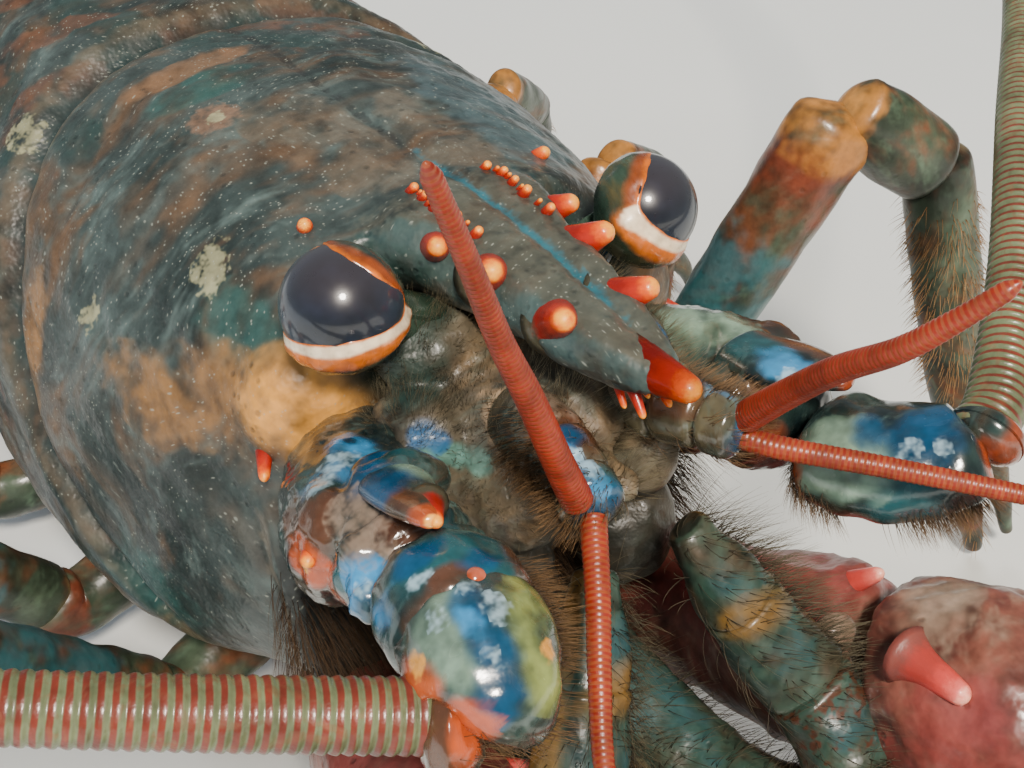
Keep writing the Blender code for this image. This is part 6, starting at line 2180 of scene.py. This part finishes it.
@dataclass
class Tail(Builder):
    """The six rings of the tail with their side flaps and swimmerets, and the tail fan."""

    def build(self) -> None:
        """Make the tail from front to back."""
        finish = Finish(
            "tail", 0x1E1D1A, 0x3C342A, 0x643C24, 0x50503F, warm_share=0.45, pale_share=0.2, streak=0.6, scale=80.0,
            roughness=0.42, coat=0.2, pits=0.35, pit_scale=600.0, grain=0.3, relief=0.0002,
            marks=(
                Mark("teal", 0x2C504A, 1.2, 260, 0.55, 0.6), Mark("facet", 0x5C604C, 1.0, 260, 0.5, 0.7),
                Mark("hem", 0x6E3A20, 1.5, 260, 0.55, 0.75, 0.5), Mark("belly", 0x8C5C38, 1.1, 260, 0.5, 0.8, 0.5),
            ),
        )
        skin = self.palette.paint(finish)
        point = np.array((0.0, *TAIL_START))
        for number, (half_width, above, below, pitch) in enumerate(TAIL):
            slope = math.radians(pitch)
            step = np.array((0.0, math.cos(slope), -math.sin(slope)))
            self.segment(number, point, step, half_width, above, below, skin)
            point = point + step * TAIL_STEP
        self.fan(point, step, skin)

    def segment(
        self, number: int, start: np.ndarray, step: np.ndarray, half_width: float, above: float, below: float,
        skin: bpy.types.Material
    ) -> None:
        """One ring: a smooth facet in front, the broader plate, a rim, flaps and swimmerets."""
        rise = np.array((0.0, -step[2], step[1]))
        drop_line = Profile(((0.0, 0.0), (0.25, 0.55), (0.5, 1.0), (0.75, 0.72), (1.0, 0.12)))
        angles = math.tau * (np.arange(160) + 0.5) / 160
        across, high = np.cos(angles), np.sin(angles)
        power = np.where(high > 0, 2.3, 3.4)
        reach = (abs(across) ** power + abs(high) ** power) ** (-1 / power)
        edge = np.where(high < 0, np.maximum(0, abs(across) * reach - 0.72) / 0.28, 0)
        rows, masks = [], []
        for share in np.linspace(0, 1, 34):
            swell = 0.955 + 0.05 * smooth(0.16, 0.34, np.array(share)) - 0.02 * smooth(0.9, 1.0, np.array(share))
            swell += 0.008 * math.exp(
                -(((share - 0.9) / 0.05) ** 2)
            ) - 0.012 * math.exp(-(((share - 0.2) / 0.04) ** 2))
            drop = float(drop_line(share))
            lift = np.where(high > 0, above, below * 0.72) * swell * high * reach - edge * drop * below * 0.55
            centre = start + step * (TAIL_STEP * share * 0.985)
            row = centre + np.outer(half_width * swell * across * reach, (1, 0, 0)) + np.outer(lift, rise)
            rows.append(row + np.outer(edge * drop * 2.0, step))
            masks.append([np.full(160, share), np.clip(edge, 0, 1), high])
        masks = np.array(masks)
        ring_ = Surface.grid(np.array(rows), masks={"share": masks[:, 0], "edge": masks[:, 1], "high": masks[:, 2]})
        ring_ = ring_.pushed(
            0.16 * lumps(ring_.points, 3.4, 50 + number) + 0.06 * lumps(ring_.points, 1.1, 60 + number)
        )
        share, side_flap, tall = (ring_.masks.pop(k) for k in ("share", "edge", "high"))
        ring_.masks = {
            "facet": smooth(0.2, 0.1, share) * (tall > -0.2), "hem": smooth(0.93, 0.98, share) * (tall > -0.3),
            "teal": side_flap * 0.8, "belly": smooth(-0.3, -0.6, tall) * (1 - side_flap),
        }
        parts = [ring_]
        if number < 5:
            for side in SIDES.values():
                root = start + step * (TAIL_STEP * 0.45) - rise * (below * 0.55) + np.array((side * 9.5, 0, 0))
                tip = root + step * 9.0 - rise * 8.5 + np.array((side * 0.8, 0, 0))
                for lean in (-0.9, 0.9):
                    aside = np.array((lean, 0, 0))
                    blade = Limb((
                        (tuple(root), 1.5, 1.1), (tuple((root + tip) / 2 + aside), 2.1, 0.8),
                        (tuple(tip + aside), 0.9, 0.4),
                    ), up=tuple(rise), sides=24).surface()
                    blade.masks = {"hem": smooth(0.5, 1.0, blade.masks["along"])}
                    parts.append(blade)
        self.body.piece(
            f"tail_segment_{number + 1}", Surface.joined(parts), skin, Slot.TAIL, (f"tail_segment_{number + 1}",)
        )

    def fan(self, end: np.ndarray, step: np.ndarray, skin: bpy.types.Material) -> None:
        """The telson and the two paddles either side of it."""
        back = end[1] + 36.0
        telson = Limb((
            (tuple(end - step * 3.0), 8.6, 3.4), (tuple(end + step * 7.0), 9.8, 3.0),
            ((0, end[1] + 16.0, FLOOR + 7.4), 9.8, 2.4),
            ((0, end[1] + 26.0, FLOOR + 3.4), 9.2, 1.9), ((0, back - 4.4, FLOOR + 1.5), 8.2, 1.5),
            ((0, back - 1.6, FLOOR + 1.0), 6.2, 1.2),
            ((0, back - 0.4, FLOOR + 0.9), 4.0, 1.0), ((0, back, FLOOR + 0.8), 1.6, 0.8),
        ), sides=96, power=2.6).surface()
        self.paddle("telson", [telson], ("telson",), skin)
        for name, side in SIDES.items():
            root = end + np.array((side * 11.0, -2.0, -3.0))
            inner = Limb((
                (tuple(root), 4.0, 3.2), ((side * 15.0, end[1] + 6.0, FLOOR + 9.4), 5.6, 2.6),
                ((side * 18.6, end[1] + 15.0, FLOOR + 5.0), 7.8, 2.0),
                ((side * 21.0, end[1] + 25.0, FLOOR + 2.4), 8.6, 1.6),
                ((side * 22.0, end[1] + 31.0, FLOOR + 1.3), 7.4, 1.4),
                ((side * 22.3, end[1] + 34.0, FLOOR + 1.0), 5.4, 1.2),
                ((side * 22.4, end[1] + 35.2, FLOOR + 0.9), 3.2, 1.0),
                ((side * 22.4, end[1] + 35.6, FLOOR + 0.8), 1.2, 0.8),
            ), sides=88, power=2.6).surface()
            outer = Limb((
                (tuple(root + np.array((side, 0.6, 0.4))), 3.6, 2.8),
                ((side * 21.0, end[1] + 3.0, FLOOR + 9.0), 5.4, 2.4),
                ((side * 30.0, end[1] + 9.4, FLOOR + 4.8), 7.6, 1.9),
                ((side * 36.0, end[1] + 16.6, FLOOR + 2.4), 8.4, 1.5),
                ((side * 40.0, end[1] + 21.8, FLOOR + 1.3), 7.4, 1.4),
                ((side * 42.0, end[1] + 24.4, FLOOR + 1.0), 5.4, 1.2),
                ((side * 42.8, end[1] + 25.4, FLOOR + 0.9), 3.4, 1.0),
                ((side * 43.1, end[1] + 25.8, FLOOR + 0.8), 1.2, 0.8),
            ), sides=88, power=2.6).surface()
            self.paddle(f"tail_fan_{name}", [inner, outer], (f"tail_fan_{name}",), skin)

    def paddle(self, name: str, parts: list[Surface], nodes: tuple[str, ...], skin: bpy.types.Material) -> None:
        """Finish the plates of the fan with ridges and hem, and let their edges grow a fringe."""
        for k, part in enumerate(parts):
            along, around = part.masks["along"], part.masks["around"]
            side = np.cos(around * math.tau)
            ridge = np.exp(-((side / 0.10) ** 2)) + 0.6 * np.exp(-(((abs(side) - 0.55) / 0.07) ** 2))
            part.points = part.pushed(
                0.4 * ridge * smooth(0.1, 0.3, along) * smooth(1.0, 0.8, along) + 0.1 * lumps(part.points, 1.6, 70)
            ).points
            part.masks["hem"] = np.maximum(
                smooth(0.9, 0.97, along), smooth(0.93, 0.99, abs(side)) * smooth(0.3, 0.5, along)
            )
            part.masks["facet"] = smooth(0.08, 0.0, along)
            part.masks["belly"] = smooth(0.45, 0.3, part.masks["top"])
            self.emitters.append((part, np.array((0, 1.0, -0.15)), {"kind": "fringe"}))
        self.body.piece(name, Surface.joined(parts), skin, Slot.TAIL, nodes)


@dataclass(frozen=True)
class Coat:
    """How one patch of bristles grows."""

    count: int
    length: float
    width: float
    spread: float
    bend: float
    root: int
    tip: int


class Setae:
    """Grows bristles with Geometry Nodes: each a tapered, bent mesh hair with its own patch of UV."""

    def __init__(self) -> None:
        """Build the node group."""
        tree = bpy.data.node_groups.new("setae", "GeometryNodeTree")
        self.tree = tree
        face = tree.interface
        face.new_socket("Geometry", in_out="INPUT", socket_type="NodeSocketGeometry")
        self.ids = {}
        for name, kind in (
            ("Density", "Float"), ("Length", "Float"), ("Width", "Float"), ("Spread", "Float"), ("Bend", "Float"),
            ("Seed", "Int"), ("Material", "Material"),
        ):
            self.ids[name] = face.new_socket(name, in_out="INPUT", socket_type=f"NodeSocket{kind}").identifier
        face.new_socket("Geometry", in_out="OUTPUT", socket_type="NodeSocketGeometry")
        g = Graph(tree)
        start, end = tree.nodes.new("NodeGroupInput"), tree.nodes.new("NodeGroupOutput")
        ins = start.outputs
        dense = g.node("GeometryNodeInputNamedAttribute", {"Name": "dense"}, data_type="FLOAT").outputs[0]
        spread = g.node(
            "GeometryNodeDistributePointsOnFaces",
            {"Mesh": ins["Geometry"], "Density": g.math("MULTIPLY", dense, ins["Density"]), "Seed": ins["Seed"]},
        )
        hair = g.node(
            "GeometryNodeMeshCone",
            {"Vertices": 3, "Side Segments": 4, "Radius Top": 0.12, "Radius Bottom": 1.0, "Depth": 1.0},
            fill_type="NONE",
        )
        where = g.node("GeometryNodeInputPosition", {}).outputs[0]
        parts = g.node("ShaderNodeSeparateXYZ", {0: where})
        turned = g.node("ShaderNodeCombineXYZ", {0: parts.outputs[0], 1: parts.outputs[2], 2: 0.0})
        patch = g.node(
            "GeometryNodeStoreNamedAttribute",
            {"Geometry": hair.outputs["Mesh"], "Name": "patch", "Value": turned.outputs[0]},
            data_type="FLOAT_VECTOR", domain="POINT",
        )
        out = g.node(
            "GeometryNodeStoreNamedAttribute",
            {"Geometry": patch.outputs[0], "Name": "out", "Value": parts.outputs[2]}, data_type="FLOAT",
            domain="POINT",
        )
        lean = g.node("GeometryNodeInputNamedAttribute", {"Name": "lean"}, data_type="FLOAT_VECTOR").outputs[0]
        chance = g.node(
            "FunctionNodeRandomValue", {"Min": (-1.0, -1.0, -1.0), "Max": (1.0, 1.0, 1.0), "Seed": ins["Seed"]},
            data_type="FLOAT_VECTOR",
        ).outputs[0]
        jitter = g.node("ShaderNodeVectorMath", {0: chance, 3: ins["Spread"]}, operation="SCALE").outputs[0]
        aim = g.node("ShaderNodeVectorMath", {0: spread.outputs["Normal"], 1: lean}, operation="ADD").outputs[0]
        aim = g.node("ShaderNodeVectorMath", {0: aim, 1: jitter}, operation="ADD").outputs[0]
        turn = g.node("FunctionNodeAlignRotationToVector", {"Vector": aim}, axis="Z").outputs[0]
        tall = g.node("FunctionNodeRandomValue", {2: 0.45, 3: 1.15, "Seed": 5}, data_type="FLOAT").outputs[1]
        size = g.node(
            "ShaderNodeCombineXYZ", {0: ins["Width"], 1: ins["Width"], 2: g.math("MULTIPLY", tall, ins["Length"])}
        ).outputs[0]
        grown = g.node(
            "GeometryNodeInstanceOnPoints",
            {"Points": spread.outputs["Points"], "Instance": out.outputs[0], "Rotation": turn, "Scale": size},
        )
        real = g.node("GeometryNodeRealizeInstances", {"Geometry": grown.outputs[0]})
        tip = g.node("GeometryNodeInputNamedAttribute", {"Name": "out"}, data_type="FLOAT").outputs[0]
        lean2 = g.node("GeometryNodeInputNamedAttribute", {"Name": "lean"}, data_type="FLOAT_VECTOR").outputs[0]
        sag = g.math("MULTIPLY", g.math("MULTIPLY", g.math("POWER", tip, 2.0), ins["Bend"]), ins["Length"])
        drift = g.node("ShaderNodeVectorMath", {0: lean2, 3: sag}, operation="SCALE").outputs[0]
        bent = g.node("GeometryNodeSetPosition", {"Geometry": real.outputs[0], "Offset": drift})
        local = g.node("GeometryNodeInputNamedAttribute", {"Name": "patch"}, data_type="FLOAT_VECTOR").outputs[0]
        small = g.node("ShaderNodeVectorMath", {0: local, 3: 0.0015}, operation="SCALE").outputs[0]
        root = g.node("GeometryNodeInputNamedAttribute", {"Name": "root_uv"}, data_type="FLOAT_VECTOR").outputs[0]
        spot = g.node("ShaderNodeVectorMath", {0: root, 1: small}, operation="ADD").outputs[0]
        mapped = g.node(
            "GeometryNodeStoreNamedAttribute", {"Geometry": bent.outputs[0], "Name": "OFBake", "Value": spot},
            data_type="FLOAT2", domain="CORNER",
        )
        soft = g.node("GeometryNodeSetShadeSmooth", {"Geometry": mapped.outputs[0]})
        done = g.node("GeometryNodeSetMaterial", {"Geometry": soft.outputs[0], "Material": ins["Material"]})
        tree.links.new(done.outputs[0], end.inputs[0])

    def grow(
        self, name: str, body: Body, patches: list[tuple[Surface, np.ndarray, np.ndarray]], coat: Coat,
        material: bpy.types.Material, slot: Slot,
    ) -> None:
        """Grow one piece of bristles.

        Args:
            name: The piece's name.
            body: Where the animal stands.
            patches: Skins with how dense each point is and which way the bristles lean.
            coat: How they grow.
            material: Their finish.
            slot: The record's slot.
        """
        parts = [replace(skin, masks={"dense": dense}) for skin, dense, _ in patches]
        lean = np.concatenate([np.broadcast_to(way, skin.points.shape) for skin, _, way in patches])
        skin = Surface.joined(parts)
        fans = np.concatenate([skin.quads[:, [0, 1, 2]], skin.quads[:, [0, 2, 3]], skin.tris])
        a, b, c = (skin.points[fans[:, i]] for i in range(3))
        area = np.linalg.norm(np.cross(b - a, c - a), axis=1) / 2
        total = float((area * skin.masks["dense"][fans].mean(1)).sum()) * MM * MM
        mesh = skin.mesh(name, body.shift, MM)
        centre = skin.points.mean(0)
        turn = np.arctan2(skin.points[:, 0] - centre[0], skin.points[:, 2] - centre[2]) / math.tau + 0.5
        low, high = skin.points[:, 1].min(), skin.points[:, 1].max()
        uv = np.stack([0.02 + 0.96 * turn, 0.02 + 0.96 * (skin.points[:, 1] - low) / (high - low), 0 * turn], -1)
        for key, values in (("lean", lean), ("root_uv", uv)):
            layer = mesh.attributes.new(key, "FLOAT_VECTOR", "POINT")
            layer.data.foreach_set("vector", values.astype(np.float32).ravel())
        obj = placed("emitter", mesh)
        modifier = obj.modifiers.new("setae", "NODES")
        modifier.node_group = self.tree
        values = {
            "Density": coat.count / max(total, 1e-9), "Length": coat.length * MM, "Width": coat.width * MM,
            "Spread": coat.spread, "Bend": coat.bend, "Seed": SEED, "Material": material,
        }
        for key, value in values.items():
            modifier[self.ids[key]] = value
        grown = plain(obj)
        bpy.data.objects.remove(obj)
        bpy.data.meshes.remove(mesh)
        spots = np.empty(len(grown.vertices) * 3, np.float32)
        grown.vertices.foreach_get("co", spots)
        spots[2::3] = np.maximum(spots[2::3], 0.0001)
        grown.vertices.foreach_set("co", spots)
        for key in ("lean", "root_uv", "patch", "dense"):
            if key in grown.attributes:
                grown.attributes.remove(grown.attributes[key])
        body.adopt(name, grown, material, slot)


@dataclass
class Studio:
    """Floor, light and camera."""

    shift: np.ndarray
    place: Point = (-53.1, -77.8, 53.8)
    azimuth: float = -36.517
    elevation: float = 35.990
    roll: float = 1.819
    focal: float = 1393.78

    def build(self) -> None:
        """Set the stage."""
        self.floor()
        self.light("key", (-225, -475, 575), 12.0, 150, 0xFFF4E6, True)
        self.light("fill", (-575, 50, 300), 3.4, 500, 0xDDEBFF, False)
        self.light("front", (300, -600, 150), 2.4, 400, 0xFFF2E2, False)
        self.light("back", (375, 475, 450), 4.4, 400, 0xFFFFFF, False)
        world = bpy.data.worlds.new("studio")
        world.use_nodes = True
        background = world.node_tree.nodes["Background"]
        background.inputs["Color"].default_value = (0.86, 0.89, 0.9, 1.0)
        background.inputs["Strength"].default_value = 0.24
        bpy.context.scene.world = world
        self.camera()

    def floor(self) -> None:
        """A plain pale floor."""
        half = 3.0
        mesh = bpy.data.meshes.new("floor")
        mesh.from_pydata([(-half, -half, 0), (half, -half, 0), (half, half, 0), (-half, half, 0)], [], [(0, 1, 2, 3)])
        material = bpy.data.materials.new("floor")
        material.use_nodes = True
        g = Graph(material.node_tree)
        shader = material.node_tree.nodes["Principled BSDF"]
        place = g.node("ShaderNodeTexCoord", {}).outputs["Object"]
        cloud = g.noise(place, 9.0, 4.0)
        g.tree.links.new(g.mix(cloud, tone(0xC9CCC9), tone(0xD6D8D4)), shader.inputs["Base Color"])
        shader.inputs["Roughness"].default_value = 0.8
        mesh.materials.append(material)
        obj = placed("floor", mesh)

    def light(self, name: str, spot: Point, watts: float, size: float, colour: int, glint: bool) -> None:
        """A round soft light at a place of the animal's frame, aimed at its head."""
        lamp = bpy.data.lights.new(name, "AREA")
        lamp.energy = watts
        lamp.shape = "DISK"
        lamp.size = size * MM
        lamp.color = tone(colour)[:3]
        obj = placed(name, lamp)
        place = Vector(self.shift + np.array(spot) * MM)
        target = Vector(self.shift + np.array((0.0, 0.0, -15.0)) * MM)
        obj.rotation_mode = "QUATERNION"
        obj.rotation_quaternion = (target - place).to_track_quat("-Z", "Y")
        obj.location = place
        obj.visible_glossy = glint

    def camera(self) -> None:
        """The camera, where the photo was taken from."""
        az, el, roll = (math.radians(v) for v in (self.azimuth, self.elevation, self.roll))
        back = np.array((math.sin(az) * math.cos(el), -math.cos(az) * math.cos(el), math.sin(el)))
        right = np.array((math.cos(az), math.sin(az), 0.0))
        upward = np.cross(back, right)
        level = math.cos(roll) * right + math.sin(roll) * upward
        upright = -math.sin(roll) * right + math.cos(roll) * upward
        lens = bpy.data.cameras.new("camera")
        lens.sensor_width = 36.0
        lens.lens = 36.0 * self.focal / 1024.0
        lens.clip_start = 0.001
        lens.clip_end = 20.0
        obj = placed("camera", lens)
        spot = self.shift + np.array(self.place) * MM
        obj.matrix_world = Matrix([(level[i], upright[i], back[i], spot[i]) for i in range(3)] + [(0, 0, 0, 1)])
        bpy.context.scene.camera = obj


def coats(body: Body, palette: Palette, emitters: list) -> None:
    """Grow every piece of bristles.

    Args:
        body: Where the animal stands.
        palette: The finishes.
        emitters: Patches that the builders left for it: skin, lean, settings.
    """
    setae = Setae()
    kinds = {
        "mouth": (Coat(7200, 3.6, 0.036, 0.7, 0.5, 0x221C14, 0x6E6650), Slot.LEG),
        "foot": (Coat(5200, 1.8, 0.05, 0.4, 0.3, 0x6A4A2C, 0xB08A58), Slot.LEG),
        "fringe": (Coat(6300, 2.8, 0.05, 0.4, 0.3, 0x4A3424, 0x846646), Slot.TAIL),
        "face": (Coat(7900, 2.1, 0.021, 0.5, 0.6, 0x3E382C, 0x968A6C), Slot.FACE),
        "beard": (Coat(3600, 4.6, 0.036, 0.6, 0.6, 0x20160E, 0x5C4630), Slot.SHELL),
        "base": (Coat(1700, 1.7, 0.03, 0.6, 0.5, 0x2A1E14, 0x7A5C3A), Slot.FEELER),
        "feeler": (Coat(2600, 1.6, 0.035, 0.4, 0.4, 0x33291E, 0x8A6A48), Slot.FEELER),
    }
    for kind, (coat, slot) in kinds.items():
        patches = []
        for skin, lean, settings in emitters:
            if settings["kind"] != kind:
                continue
            dense = settings.get("dense")
            if dense is None:
                along, around = skin.masks["along"], skin.masks.get("around", 0)
                if kind == "mouth":
                    dense = smooth(0.05, 0.2, along) * (0.25 + smooth(0.2, 0.8, np.cos((around - 0.5) * math.tau)))
                elif kind == "fringe":
                    dense = np.maximum(
                        smooth(0.965, 0.99, along),
                        0.5 * smooth(0.985, 1.0, abs(np.cos(around * math.tau))) * smooth(0.5, 0.7, along)
                    )
                else:
                    dense = smooth(0.1, 0.3, along) * smooth(0.95, 0.8, along) * (
                        0.3 + 0.7 * (lumps(skin.points, 2.0, 5) > 0.2)
                    )
            patches.append((skin, dense, lean))
        if patches:
            setae.grow(
                f"setae_{kind}", body, patches, coat, palette.bristle(f"bristle_{kind}", coat.root, coat.tip), slot
            )


def main() -> None:
    """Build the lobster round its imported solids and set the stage."""
    logging.basicConfig(level=logging.INFO, format="%(message)s")
    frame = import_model()
    body = Body.from_frame()
    palette = Palette()
    emitters: list = []
    for builder in (Carapace, Eyes, Head, Antennules, Antennae, MouthLimbs, Claws, Legs, Tail):
        builder(body, palette, emitters).build()
        LOG.info("%s built", builder.__name__)
    coats(body, palette, emitters)
    Studio(body.shift).build()
    LOG.info("%d pieces over %s", len(body.made), frame is not None)


if __name__ == "__main__":
    main()
